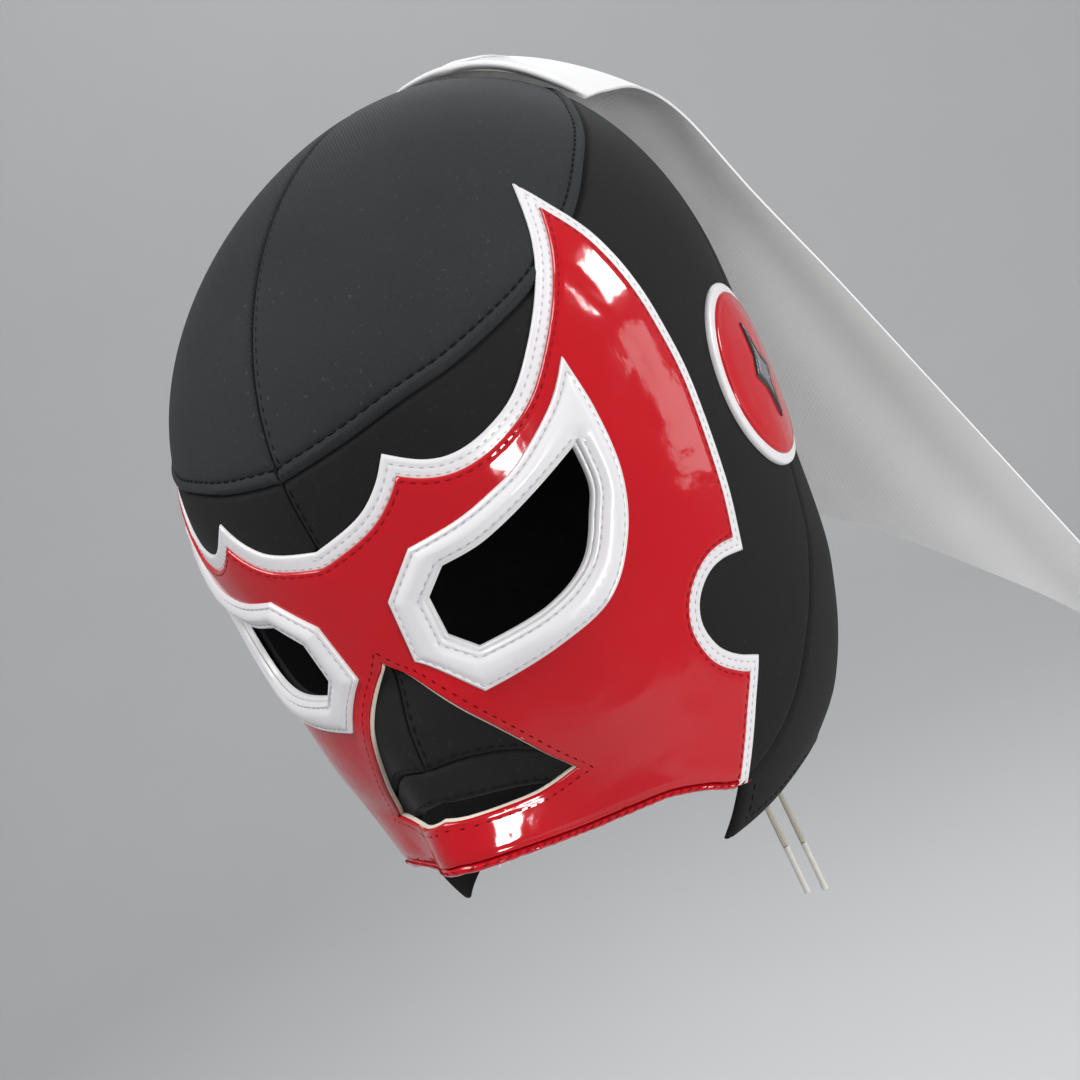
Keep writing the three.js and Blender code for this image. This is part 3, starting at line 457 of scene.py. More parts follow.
black_thread = thread("black_thread", (0.001, 0.001, 0.001), (0.004, 0.004, 0.004))
grey_thread = thread("grey_thread", (0.42, 0.415, 0.42), (0.58, 0.57, 0.58))
red_thread = thread("red_thread", (0.15, 0.001, 0.006), (0.26, 0.003, 0.012))
eyelet_metal = clouded(
    "eyelet_metal", (0.03, 0.03, 0.032), (0.09, 0.09, 0.095), 400.0, (0.25, 0.5), 0.00005,
    Metallic=1.0,
)
tip_plastic = clouded(
    "tip_plastic", (0.66, 0.64, 0.56), (0.78, 0.76, 0.7), 300.0, (0.22, 0.4), 0.0001,
    Coat_Weight=0.3,
)
stage_paint = clouded("stage_paint", (0.66,) * 3, (0.69,) * 3, 3.0, (0.8, 0.95), 0)
floor.data.materials.append(stage_paint)
print("materials:", len(bpy.data.materials))

# %% [markdown]
# Points are worked out in millimetres and written into a mesh in metres. A flat
# pattern, in centimetres, goes into the UV map, for one point or for one corner.

# %% From points to an object


def unit(v):
    return v / np.maximum(np.linalg.norm(v, axis=-1, keepdims=True), 1e-12)


def build(name, points, faces, pattern, edge=None):
    mesh = bpy.data.meshes.new(name)
    mesh.from_pydata((points * MM).tolist(), [], [list(map(int, f)) for f in faces])
    corners = np.empty(len(mesh.loops), dtype=np.int32)
    mesh.loops.foreach_get("vertex_index", corners)
    flat = np.asarray(pattern[corners] if len(pattern) == len(points) else pattern, np.float32)
    mesh.uv_layers.new(name="UVMap").data.foreach_set("uv", flat.ravel())
    if edge is not None:
        held = mesh.attributes.new("edge", "FLOAT", "POINT")
        held.data.foreach_set("value", edge.astype(np.float32))
    mesh.update()
    made = bpy.data.objects.new(name, mesh)
    bpy.context.collection.objects.link(made)
    return made


def smooth(piece, angle=55):
    select_only(piece)
    bpy.ops.object.shade_smooth_by_angle(angle=math.radians(angle))


def settle(piece, material, slot, *nodes):
    """Gives a piece its finish and its body, and hides the CAD nodes that it stands for."""
    piece.data.materials.clear()
    piece.data.materials.append(material)
    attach(piece, "root")
    if nodes:
        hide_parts(*nodes)


# %% [markdown]
# A cord is a smooth line with an oval section carried along it. The section must not
# spin, so each ring takes its direction from the one before, only tipped by as much
# as the line bends. A curve object with a bevel would twist where the line turns.

# %% Lines and tubes


def walked(points):
    """The way gone along a line of points, up to each of them."""
    steps = np.linalg.norm(np.diff(points, axis=0), axis=1)
    return np.concatenate([[0], np.cumsum(steps)])


def cubic(p0, p1, p2, p3, t):
    """The smooth curve from p1 to p2 that heads for the points beside them."""
    v0, v1 = (p2 - p0) / 2, (p3 - p1) / 2
    return (
        (2 * p1 - 2 * p2 + v0 + v1) * t**3 + (-3 * p1 + 3 * p2 - 2 * v0 - v1) * t**2
        + v0 * t + p1
    )


def smooth_path(points, step=0.6):
    """An even line through points, by the centripetal Catmull-Rom rule."""
    points = np.asarray(points, float)
    full = np.vstack([2 * points[0] - points[1], points, 2 * points[-1] - points[-2]])
    out = []
    for i in range(1, len(full) - 2):
        level = full[i - 1:i + 3]
        t = np.concatenate([[0], np.cumsum(np.linalg.norm(np.diff(level, axis=0), axis=1) ** 0.5)])
        u = np.linspace(t[1], t[2], 12, endpoint=False)[:, None]
        for first, last in (((0, 1, 2), (1, 2, 3)), ((0, 1), (2, 3)), ((1,), (2,))):
            level = [
                ((t[b] - u) * level[k] + (u - t[a]) * level[k + 1]) / (t[b] - t[a])
                for k, (a, b) in enumerate(zip(first, last))
            ]
        out.append(level[0])
    line = np.vstack(out + [points[-1:]])
    along = walked(line)
    at = np.linspace(0, along[-1], max(2, round(along[-1] / step) + 1))
    return np.stack([np.interp(at, along, line[:, k]) for k in range(3)], -1)


def oval_rings(line, side, over, sizes, sides):
    """Ovals round a line: sizes holds the width and thickness at each point."""
    angle = np.linspace(0, 2 * np.pi, sides, endpoint=False)
    return (
        line[:, None]
        + side[:, None] * (np.cos(angle)[None, :] * sizes[:, :1] / 2)[..., None]
        + over[:, None] * (np.sin(angle)[None, :] * sizes[:, 1:] / 2)[..., None]
    ).reshape(-1, 3)


def tube_faces(count, sides):
    """Quads between rings, and a cap on each end."""
    quads = [
        [i * sides + j, i * sides + k, (i + 1) * sides + k, (i + 1) * sides + j]
        for i in range(count - 1) for j, k in zip(range(sides), [*range(1, sides), 0])
    ]
    last = (count - 1) * sides
    return [*quads, list(range(sides))[::-1], [last + j for j in range(sides)]]


def sweep(name, line, sizes, sides=12):
    """A closed tube along a line, which starts with its width level."""
    ahead = unit(np.gradient(line, axis=0))
    upright = np.array([0.0, 0, 1])
    side = [unit(upright - np.dot(upright, ahead[0]) * ahead[0])]
    for way in ahead[1:]:
        side.append(unit(side[-1] - np.dot(side[-1], way) * way))
    side = np.array(side)
    rings = oval_rings(line, side, np.cross(ahead, side), sizes, sides)
    gone, girth = walked(line) / 10, sizes[:, 0].mean() * GIRTH_SHARE / 10
    pattern = []
    for near, far in zip(gone, gone[1:]):
        for j in range(sides):
            u, v = girth * j / sides, girth * (j + 1) / sides
            pattern += [(u, near), (v, near), (v, far), (u, far)]
    pattern += [(0, 0)] * (2 * sides)
    return build(name, rings, tube_faces(len(line), sides), np.array(pattern))


# %% [markdown]
# The free ends of the lace come first, because they are cords: each leaves the lowest
# eyelet towards the middle, bends down and hangs by its own weight, with a smooth
# plastic tip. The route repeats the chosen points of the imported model.

# %% Free lace ends
LACE_WIDTH, LACE_FLAT, GIRTH_SHARE = 2.5, 1.7, 2.4
LACE_END = np.array([
    [9.6, 35.8, -213.9], [9.1, 35.9, -213.9], [8.6, 35.97, -213.9], [7.25, 36.16, -214.08],
    [6, 36.3, -214.6], [4.92, 36.42, -215.42], [4.1, 36.52, -216.5], [3.58, 36.6, -217.75],
    [3.4, 36.7, -219.1], [3.4, 36.8, -223], [3.4, 36.8, -228], [3.4, 36.8, -234],
    [3.4, 36.8, -241], [3.4, 36.8, -248], [3.4, 36.8, -256], [3.4, 36.8, -264],
    [3.4, 36.8, -272], [3.4, 36.8, -279],
])
lace_ends = {}
for side, sign in (("left", 1), ("right", -1)):
    route = smooth_path(LACE_END * (sign, 1, 1))
    sizes = np.tile([LACE_WIDTH, LACE_FLAT], (len(route), 1))
    piece = sweep(f"free_lace_{side}", route, sizes)
    smooth(piece)
    settle(piece, lace_cloth, "lace", f"lace_end_{side}")
    lace_ends[side] = (piece, route)
    print(piece.name, "length mm:", round(float(walked(route)[-1]), 1))

# %% [markdown]
# An aglet is the plastic tip of a lace: a shrunk sleeve, a little waisted and with
# rounded ends. A cylinder is cut into rings, and two of the rings are drawn in.

# %% Aglets
AGLET_LENGTH, AGLET_WIDTH, AGLET_GAP, AGLET_ROUND = 20.0, 2.4, 0.3, 0.4
for side, sign in (("left", 1), ("right", -1)):
    foot = LACE_END[-1] * (sign, 1, 1) - (0, 0, AGLET_GAP + AGLET_LENGTH / 2)
    start_clean()
    bpy.ops.mesh.primitive_cylinder_add(
        vertices=20, radius=AGLET_WIDTH / 2 * MM, depth=AGLET_LENGTH * MM,
        location=tuple(foot * MM),
    )
    tip = bpy.context.object
    tip.name = f"lace_tip_{side}"
    bpy.ops.object.mode_set(mode="EDIT")
    for share in (-0.3, 0.25):
        level = Vector(foot * MM) + Vector((0, 0, share * AGLET_LENGTH * MM))
        bpy.ops.mesh.select_all(action="SELECT")
        bpy.ops.mesh.bisect(plane_co=level, plane_no=(0, 0, 1))
        bpy.ops.transform.resize(value=(0.9, 0.9, 1), center_override=level)
    bpy.ops.object.mode_set(mode="OBJECT")
    bpy.ops.object.transform_apply(location=True, rotation=True, scale=True)
    rounding = tip.modifiers.new("rounded ends", "BEVEL")
    rounding.width, rounding.segments = AGLET_ROUND * MM, 3
    rounding.angle_limit = math.radians(60)
    bpy.ops.object.modifier_apply(modifier=rounding.name)
    smooth(tip)
    settle(tip, tip_plastic, "lace", f"aglet_{side}")
    piece, route = lace_ends[side]
    print(tip.name, "faces:", len(tip.data.polygons))

# %% [markdown]
# All pieces lie on one head shape. Its sections are the same table as in the packed
# model, read with the same monotone curve, so that cloth, vinyl and stitches made
# here fall exactly where the solids are.

# %% The head form
HEAD_WIDTH, HEAD_LENGTH, CROWN_HEIGHT, HOOD_HEIGHT = 144.0, 200.0, 82.0, 224.0
CROWN_SETBACK, NOSE_RIDGE, NOSE_SPREAD = 30.0, 17.0, 13.0
SECTIONS = np.array([
    [CROWN_HEIGHT / HOOD_HEIGHT, 0.5, 0.49, 0.51, 0], [0.482, 0.503, 0.4775, 0.48, 0],
    [0.554, 0.503, 0.468, 0.445, 0], [0.625, 0.498, 0.46, 0.42, 0.42],
    [0.688, 0.493, 0.45, 0.4025, 0.65], [0.732, 0.486, 0.4365, 0.3875, 0.82],
    [0.777, 0.469, 0.4325, 0.37, 0.97], [0.821, 0.448, 0.4325, 0.35, 0.9],
    [0.884, 0.403, 0.43, 0.33, 0], [1, 0.278, 0.41, 0.305, 0],
])


def monotone(column):
    """Fine samples of the curve through one column of the sections."""
    at, value = SECTIONS[:, 0], SECTIONS[:, column]
    slope = np.diff(value) / np.diff(at)
    tangent = np.zeros(len(value))
    for i in range(1, len(value) - 1):
        a, b = slope[i - 1], slope[i]
        tangent[i] = 0 if a * b <= 0 else 2 * a * b / (a + b)
    fine = np.linspace(at[0], at[-1], 900)
    i = np.clip(np.searchsorted(at, fine, side="right") - 1, 0, len(at) - 2)
    span = at[i + 1] - at[i]
    t = (fine - at[i]) / span
    return fine, (
        (2 * t**3 - 3 * t**2 + 1) * value[i] + (t**3 - 2 * t**2 + t) * span * tangent[i]
        + (3 * t**2 - 2 * t**3) * value[i + 1] + (t**3 - t**2) * span * tangent[i + 1]
    )


CURVES = [monotone(column) for column in range(1, 5)]


def half_axes(z, offset=0.0):
    """Half axes of a section: to the side, ahead and behind, with its axis and ridge."""
    drop = -z / HOOD_HEIGHT
    rise = np.clip((z + CROWN_HEIGHT) / (CROWN_HEIGHT + offset), 0, 1)
    shrink = np.sqrt(np.maximum(1 - rise**2, 0))
    side, ahead, behind, ridge = (np.interp(drop, *curve) for curve in CURVES)
    return (
        (side * HEAD_WIDTH + offset) * shrink, (ahead * HEAD_LENGTH + offset) * shrink,
        (behind * HEAD_LENGTH + offset) * shrink, CROWN_SETBACK * (rise**2 - 1), ridge * NOSE_RIDGE,
    )


def head_point(turn, z):
    side, ahead, behind, axis, ridge = half_axes(z)
    angle = np.radians(turn)
    facing = np.cos(angle)
    x = side * np.sin(angle)
    nose = np.where(facing > 0, ridge * np.exp(-((x / NOSE_SPREAD) ** 2)), 0)
    y = axis - np.where(facing > 0, ahead, behind) * facing - nose
    return np.stack([x, y, z + 0 * x], -1)


print("widest section mm:", round(float(half_axes(np.array(-120.0))[0] * 2), 1))

# %% [markdown]
# A place on the head is a turn from the front and a height. Near the top these two
# crowd together, so directions are taken in a plan seen from above, where the crown
# is as regular as the rest. Square to the surface lies each layer of cloth.

# %% Places and directions on the head


def swing(z):
    """The angle from the crown down to a height, as if the crown were round."""
    dome = np.arccos(np.clip(1 + z / CROWN_HEIGHT, -1, 1))
    return np.where(z > -CROWN_HEIGHT, dome, math.pi / 2 - 1 - z / CROWN_HEIGHT)


def height(angle):
    dome = CROWN_HEIGHT * (np.cos(np.minimum(angle, math.pi / 2)) - 1)
    return np.where(angle < math.pi / 2, dome, CROWN_HEIGHT * (math.pi / 2 - 1 - angle))


def to_plan(turn, z):
    far, angle = swing(z), np.radians(turn)
    return far * np.sin(angle), -far * np.cos(angle)


def from_plan(p, q):
    return np.degrees(np.arctan2(p, -q)), height(np.hypot(p, q))


def directions(turn, z):
    """A point, how it moves over the plan, and the way out of the surface."""
    p, q = to_plan(turn, z)
    h = 0.004
    du = (head_point(*from_plan(p + h, q)) - head_point(*from_plan(p - h, q))) / (2 * h)
    dv = (head_point(*from_plan(p, q + h)) - head_point(*from_plan(p, q - h))) / (2 * h)
    return head_point(turn, z), du, dv, unit(np.cross(du, dv))


def skin(turn, z, offset=0.0):
    point, _, _, out = directions(turn, z)
    return point + out * np.reshape(offset, (-1, 1))


def slide(line, move):
    """Moves places along the surface by vectors in millimetres."""
    for _ in range(2):
        turn, z = line[:, 0], line[:, 1]
        _, du, dv, _ = directions(turn, z)
        half = move / 2
        a, b, c = (du * du).sum(1), (du * dv).sum(1), (dv * dv).sum(1)
        e, f = (du * half).sum(1), (dv * half).sum(1)
        size = np.maximum(a * c - b * b, 1e-9)
        p, q = to_plan(turn, z)
        new_turn, new_z = from_plan(p + (c * e - b * f) / size, q + (a * f - b * e) / size)
        new_turn = new_turn - 360 * np.round((new_turn - turn) / 360)
        line = np.stack([new_turn, new_z], 1)
    return line


# %% [markdown]
# Outlines are drawn like a pattern cutter's: a few chosen places, a smooth curve
# through them, and sharp corners where the real cut has them. A line can then be
# moved sideways over the head, which gives seam allowances, borders and stitch lines.

# %% Outlines
CLEAR_SHARE, SHARPEST = 0.96, 0.25


def outline(table, corners=(), step=1.2, closed=False):
    """Even places along a table of turns and drops."""
    table = np.array(table, float) * (1, -HOOD_HEIGHT)
    corners = sorted(corners)
    if closed:
        table = np.vstack([table, table[:1]])
        corners = [*corners, len(table) - 1]
    stops = sorted({0, len(table) - 1, *corners})
    out = []
    for a, b in zip(stops, stops[1:]):
        part = table[a:b + 1]
        padded = np.vstack([part[:1], part, part[-1:]])
        t = np.linspace(0, 1, 30, endpoint=False)[:, None]
        fine = [cubic(*padded[i - 1:i + 3], t) for i in range(1, len(padded) - 2)]
        out.append(even(np.vstack([*fine, part[-1:]]), step)[:-1])
    return np.vstack(out if closed else [*out, table[-1:]])


def on_head(line):
    return head_point(line[:, 0], line[:, 1])


def lengths(line):
    return walked(on_head(line))


def even(line, step):
    along = lengths(line)
    at = np.linspace(0, along[-1], max(2, round(along[-1] / step) + 1))
    return np.stack([np.interp(at, along, line[:, k]) for k in range(2)], 1)


def flip(line):
    """The same line on the other side of the face, running the other way."""
    return (line * (-1, 1))[::-1]


def both(line):
    """A closed outline from its left half, which starts and ends at the centre."""
    return np.vstack([line, flip(line)[1:-1]])


def tree_of(points):
    tree = kdtree.KDTree(len(points))
    for i, point in enumerate(points):
        tree.insert(point, i)
    tree.balance()
    return tree


def gaps(tree, points):
    return np.array([tree.find(p)[2] for p in points])


def dense(line, closed=False):
    """Points on the head along a line, five to each of its steps."""
    full = np.vstack([line, line[:1]]) if closed else line
    share = np.arange(5)[:, None] / 5
    fine = [a * (1 - share) + b * share for a, b in zip(full, full[1:])]
    return on_head(np.vstack([*fine, full[-1:]]))


def beside(line, distance, closed=False):
    """The line moved to the right of its direction, without what would come nearer."""
    point, _, _, out = directions(line[:, 0], line[:, 1])
    if closed:
        after, before = np.roll(point, -1, 0) - point, point - np.roll(point, 1, 0)
    else:
        step = np.diff(point, axis=0)
        after, before = np.vstack([step, step[-1:]]), np.vstack([step[:1], step])
    first, second = unit(np.cross(before, out)), unit(np.cross(after, out))
    way = unit(first + second)
    stretch = np.clip((way * first).sum(1), SHARPEST, 1)[:, None]
    moved = slide(line, way * distance / stretch)
    far = gaps(tree_of(dense(line, closed)), on_head(moved))
    return moved[far > CLEAR_SHARE * abs(distance)]


def upright(turn, first, last, count):
    """An even line that keeps its turn, such as the centre line."""
    return np.stack([np.full(count, float(turn)), np.linspace(first, last, count)], 1)


# %% [markdown]
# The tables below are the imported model's own, as turn in degrees and drop as a share
# of the hood's height. They name the left half of each outline, from the front.

# %% Pattern tables
FACE_TOP = outline([
    [0, 0.415], [7, 0.406], [11.5, 0.396], [15.5, 0.378], [18.5, 0.356], [24, 0.378], [29, 0.385],
    [35, 0.378], [41, 0.359], [47, 0.32], [52, 0.277], [55, 0.237], [57, 0.183], [61, 0.214],
    [66.5, 0.264], [70, 0.33], [71.5, 0.41], [70.5, 0.48], [68.5, 0.554], [65.5, 0.629],
    [60.5, 0.622], [56.5, 0.626], [53, 0.643], [51.5, 0.668], [52.5, 0.698], [55.5, 0.721],
    [59.5, 0.737], [56.5, 0.777], [51, 0.857], [49, 0.886],
], corners=(4, 12, 19, 26))
CHIN = outline([
    [51, 0.857], [46, 0.846], [41, 0.83], [34, 0.814], [26.5, 0.808], [17.5, 0.803],
    [11.5, 0.795], [4.5, 0.78], [0, 0.774],
])
EYE_TRIM = outline([
    [49.5, 0.352], [50.5, 0.411], [49.5, 0.482], [45.5, 0.54], [38.5, 0.586], [28, 0.603],
    [14, 0.612], [6, 0.554], [7.5, 0.487], [15, 0.446], [23.5, 0.442], [30, 0.433], [36, 0.42],
    [44.5, 0.386],
], corners=(0, 6, 7, 8, 9), step=0.8, closed=True)
EYE_OPENING = outline([
    [45.5, 0.429], [45, 0.473], [43, 0.5], [38, 0.543], [29.5, 0.566], [16.5, 0.572],
    [12.5, 0.545], [13, 0.5], [18, 0.474], [24, 0.472], [29, 0.465], [36, 0.451],
], corners=(0, 5, 6, 7, 8), step=0.8, closed=True)
NOSE_SIDE = outline([[0, 0.545], [5.5, 0.587], [12, 0.645], [20.5, 0.732]], step=0.8)
NOSE_FOOT = outline([[20.5, 0.732], [12.5, 0.738], [4, 0.725], [0, 0.717]], step=0.8)
LIP_SEAM = outline([[0, 0.664], [4, 0.665], [8, 0.671], [13.5, 0.687], [27, 0.74]])
UPPER_LIP = outline([[0, 0.7], [5, 0.709], [11.5, 0.727], [17, 0.746], [27, 0.785]])
LOWER_LIP = outline([[17, 0.754], [9, 0.744], [0, 0.738]])
CROWN_SEAM = outline([
    [0, 0.339], [13, 0.33], [24.5, 0.318], [36, 0.307], [52, 0.277], [65.5, 0.232], [76, 0.188],
    [86, 0.152], [96, 0.118], [114, 0.08], [145, 0.05], [180, 0.042],
])
REAR_SEAM = outline([
    [114, 0.08], [112, 0.2], [106, 0.34], [100, 0.46], [96.5, 0.55], [92, 0.629], [87.5, 0.683],
    [80.5, 0.732], [69.5, 0.812], [60, 0.846], [51, 0.857],
])
NECK = outline([
    [51, 0.857], [48.5, 0.888], [46.5, 0.911], [61.5, 0.92], [77, 0.926], [95, 0.955],
    [130, 0.99], [180, 1],
], corners=(2,))
print("border length mm:", round(2 * float(lengths(FACE_TOP)[-1])))

# %% [markdown]
# A sewn panel is made flat and then laid on the head, as the real one is. The flat
# pattern gets points along its edges, in rows that follow every seam, and in an even
# field between. A constrained triangulation joins them. Each point is lifted by the
# panel's thickness, which rounds off at the cut edge and dips under the stitches.

# %% Charts: the flat patterns
TURN_MM = 1.45


def side_flat(line):
    return np.stack([line[:, 0] * TURN_MM, -swing(line[:, 1]) * CROWN_HEIGHT], 1)


def side_back(flat):
    return np.stack([flat[:, 0] / TURN_MM, height(-flat[:, 1] / CROWN_HEIGHT)], 1)


def crown_flat(line):
    return np.stack(to_plan(line[:, 0], line[:, 1]), 1) * CROWN_HEIGHT


def crown_back(flat):
    return np.stack(from_plan(flat[:, 0] / CROWN_HEIGHT, flat[:, 1] / CROWN_HEIGHT), 1)


SIDE, CROWN = (side_flat, side_back), (crown_flat, crown_back)


def inside(points, loops):
    """True where a point lies in the outline and in none of its holes."""
    result = np.zeros(len(points), bool)
    for loop in loops:
        x0, y0 = loop[:, 0], loop[:, 1]
        x1, y1 = np.roll(x0, -1), np.roll(y0, -1)
        for some in np.array_split(np.arange(len(points)), len(points) // 3000 + 1):
            px, py = points[some, 0][:, None], points[some, 1][:, None]
            crosses = (y0 > py) != (y1 > py)
            rise = np.where(y1 == y0, 1, y1 - y0)
            left = px < (x1 - x0) * (py - y0) / rise + x0
            result[some] ^= (crosses & left).sum(1) % 2 == 1
    return result


def shifted(loop, distance, inward=False, region=None):
    """A closed outline moved out of the region that it bounds, or into it."""
    moved = beside(loop, distance, True)
    within = inside(side_flat(moved[:1]), [side_flat(one) for one in region or [loop]])[0]
    return moved if within == inward else beside(loop, -distance, True)


# %% The panel maker
shapes = {}


def profile(far, table):
    return np.interp(far, *np.array(table, float).T)


def scatter(loops, edge, seams, step, chart, tree):
    """Inner points of a flat pattern: rows beside the edges and seams, then a field."""
    flat_loops = [chart[0](loop) for loop in loops]
    rows = []
    for loop in loops:
        for reach, _ in edge[1:]:
            rows += [(beside(loop, sign * reach, True), 0.93 * reach) for sign in (1, -1)]
    for line, table in seams:
        for reach, _ in table:
            rows += [(beside(line, sign * reach), 0.3) for sign in ((1, -1) if reach else (1,))]
    found = []
    for row, least in rows:
        if len(row):
            flat = chart[0](row)
            found.append(flat[(gaps(tree, on_head(row)) >= least) & inside(flat, flat_loops)])
    low, high = flat_loops[0].min(0), flat_loops[0].max(0)
    gx, gy = np.meshgrid(
        np.arange(low[0], high[0], step), np.arange(low[1], high[1], step * 0.866),
    )
    gx = gx + (np.arange(len(gx)) % 2)[:, None] * step / 2
    field = np.stack([gx.ravel(), gy.ravel()], 1)
    field = field[inside(field, flat_loops)]
    solid = on_head(chart[1](field))
    keep = gaps(tree, solid) > edge[-1][0] + 0.4 * step
    for line, table in seams:
        keep &= gaps(tree_of(dense(line)), solid) > table[-1][0] + 0.4 * step
    every = np.vstack([*found, field[keep]])
    _, first = np.unique(np.round(every / 0.3).astype(int), axis=0, return_index=True)
    return flat_loops, every[np.sort(first)]


def triangulate(flat_loops, inner):
    """Triangles that fill the flat outline and leave out its holes, all facing up."""
    joins, count = [], 0
    for one in flat_loops:
        joins += [(count + i, count + (i + 1) % len(one)) for i in range(len(one))]
        count += len(one)
    flat = [Vector(v) for v in np.vstack([*flat_loops, inner])]
    verts, _, faces, *_ = delaunay_2d_cdt(flat, joins, [], 1, 1e-4)
    flat, faces = np.array([tuple(v) for v in verts]), np.array(faces)
    faces = faces[inside(flat[faces].mean(1), flat_loops)]
    used, faces = np.unique(faces, return_inverse=True)
    flat, faces = flat[used], faces.reshape(-1, 3)
    (ax, ay), (bx, by), (cx, cy) = (flat[faces[:, k]].T for k in range(3))
    turned = (bx - ax) * (cy - ay) < (by - ay) * (cx - ax)
    faces[turned] = faces[turned][:, ::-1]
    return flat, faces


def panel(name, loop, base, thickness, edge, holes=(), seams=(), step=2.4, chart=SIDE, lift=None):
    """A sewn piece: base is its height over the head form, in mm, as thickness is, and
    edge and each seam hold rows of a distance and the share of the thickness there."""
    loops = [loop, *holes]
    rim_tree = tree_of(np.vstack([dense(one, True) for one in loops]))
    flat, faces = triangulate(*scatter(loops, edge, seams, step, chart, rim_tree))
    places = chart[1](flat)
    solid = on_head(places)
    far = gaps(rim_tree, solid)
    share = profile(far, edge)
    for line, table in seams:
        share = share * profile(gaps(tree_of(dense(line)), solid), table)
    top = base + thickness * share + (lift(places, far) if lift else 0)
    upper, lower = (skin(*places.T, level) for level in (top, np.full(len(far), base)))
    sides = np.vstack([faces[:, [0, 1]], faces[:, [1, 2]], faces[:, [2, 0]]])
    _, first, uses = np.unique(
        np.sort(sides, 1), axis=0, return_index=True, return_counts=True,
    )
    rim, n = sides[first[uses == 1]], len(flat)
    quads = np.stack([rim[:, 1], rim[:, 0], rim[:, 0] + n, rim[:, 1] + n], 1)
    every = faces.tolist() + (faces[:, ::-1] + n).tolist() + quads.tolist()
    solid = np.vstack([upper, lower])
    shapes[name] = (solid, every, np.vstack([flat, flat]) / 10, np.concatenate([far, far * 0]))
    piece = build(name, *shapes[name])
    smooth(piece)
    p, q, r = (upper[faces[:, k]] for k in range(3))
    piece["area"] = float(np.linalg.norm(np.cross(q - p, r - p), axis=1).sum() / 2) * MM**2
    piece["flat"] = ((flat.max(0) - flat.min(0)) * MM).tolist()
    print(name, "triangles:", 2 * len(faces) + 2 * len(rim))
    return piece


# %% Mirror images and pairs


def mirrored(name, twin):
    """The right-hand piece, with a mesh of its own."""
    points, faces, pattern, edge = shapes[twin]
    piece = build(name, points * (-1, 1, 1), [f[::-1] for f in faces], pattern * (-1, 1), edge)
    smooth(piece)
    for key in ("area", "flat"):
        piece[key] = bpy.data.objects[twin][key]
    return piece


def pair(part, node, material, slot, *shape, cloth_cut=False, **how):
    """A left piece and its mirror image; node is the name that their CAD nodes share."""
    panel(f"{part}_left", *shape, **how)
    mirrored(f"{part}_right", f"{part}_left")
    made = [bpy.data.objects[f"{part}_{side}"] for side in ("left", "right")]
    for piece, side in zip(made, ("left", "right")):
        settle(piece, material, slot, *([f"{node}_{side}"] if node else []))
    return made


# %% [markdown]
# The crown is two panels of ribbed stretch cloth. In the photograph its edge is folded
# over the panels below and topstitched, which leaves a soft ridge with a groove along
# the stitches. So the edge runs a little over the seam and the profile dips.

# %% Crown panels
TOPSTITCH = 2.4
over_seam = beside(CROWN_SEAM, 0.6)
over_seam[0, 0], over_seam[-1, 0] = 0, 180
ridge_angle = np.linspace(swing(over_seam[-1, 1]), -swing(over_seam[0, 1]), 300)[1:-1]
ridge_turn = np.where(ridge_angle > 0, 180.0, 0.0)
ridge_line = np.stack([ridge_turn, height(np.abs(ridge_angle))], 1)
welt = ((0, 1.35), (1.1, 1.3), (1.8, 0.95), (TOPSTITCH, 0.7), (2.9, 0.86), (3.8, 1))
soft_edge = ((0, 0.3), (0.3, 0.6), (0.8, 0.86), (1.5, 0.97), (2.4, 1))
pair(
    "crown", "crown_panel", crown_cloth, "crown_cloth",
    np.vstack([over_seam, ridge_line]), 0.2, 1.9, soft_edge,
    seams=[(CROWN_SEAM, welt)], chart=CROWN, cloth_cut=True,
)

# %% [markdown]
# The side panels run from the forehead to the ears and down beside the chin. They
# meet at the front centre, are cut out for the eyes and for the nose, and their upper
# edge is thinned, because it lies folded under the crown's.

# %% Side panels
CLOTH = 2.0
nose_out = beside(NOSE_SIDE, -5.0)
nose_out[0, 0] = 0
nose_hole = np.vstack([LOWER_LIP[::-1], nose_out[::-1]])
centre_chin = upright(0, CHIN[-1, 1], LOWER_LIP[-1, 1], 8)[1:-1]
centre_brow = upright(0, nose_out[0, 1], CROWN_SEAM[0, 1], 34)[1:-1]
front_seam = CROWN_SEAM[CROWN_SEAM[:, 0] < REAR_SEAM[0, 0] - 0.3]
side_loop = np.vstack([front_seam, REAR_SEAM, CHIN[1:], centre_chin, nose_hole, centre_brow])
eye_cut = shifted(EYE_OPENING, 1.0)
tuck = [(CROWN_SEAM, ((0, 0.55), (0.8, 0.6), (2.0, 1)))]
pair(
    "side", "side_panel", side_cloth, "side_cloth", side_loop, 0, CLOTH, soft_edge,
    holes=[eye_cut], seams=tuck, cloth_cut=True,
)

# %% [markdown]
# Behind the ears the hood closes with two rear panels. A slot between them is laced,
# so their inner edges are straight and carry a column of eyelets. Each eyelet needs
# a round hole, cut here from the same places that the rings use later.

# %% Rear panels
SLOT_HALF, SLOT_TOP, EYELET_INSET, EYELETS = 8.0, 0.42, 6.0, 5


def at_back(x, z):
    """The place on the back of the head at a distance from the centre line."""
    turn = 180 - np.degrees(np.arcsin(x / half_axes(z)[0]))
    return np.stack([turn + 0 * z, z + 0 * turn], -1).reshape(-1, 2)


def ring_places(centre, radius, count):
    _, du, _, out = directions(centre[:, 0], centre[:, 1])
    across = unit(du)
    up = np.cross(out, across)
    angle = np.linspace(0, 2 * np.pi, count, endpoint=False)[:, None]
    move = radius * (across * np.cos(angle) + up * np.sin(angle))
    return slide(np.repeat(centre, count, 0), move)


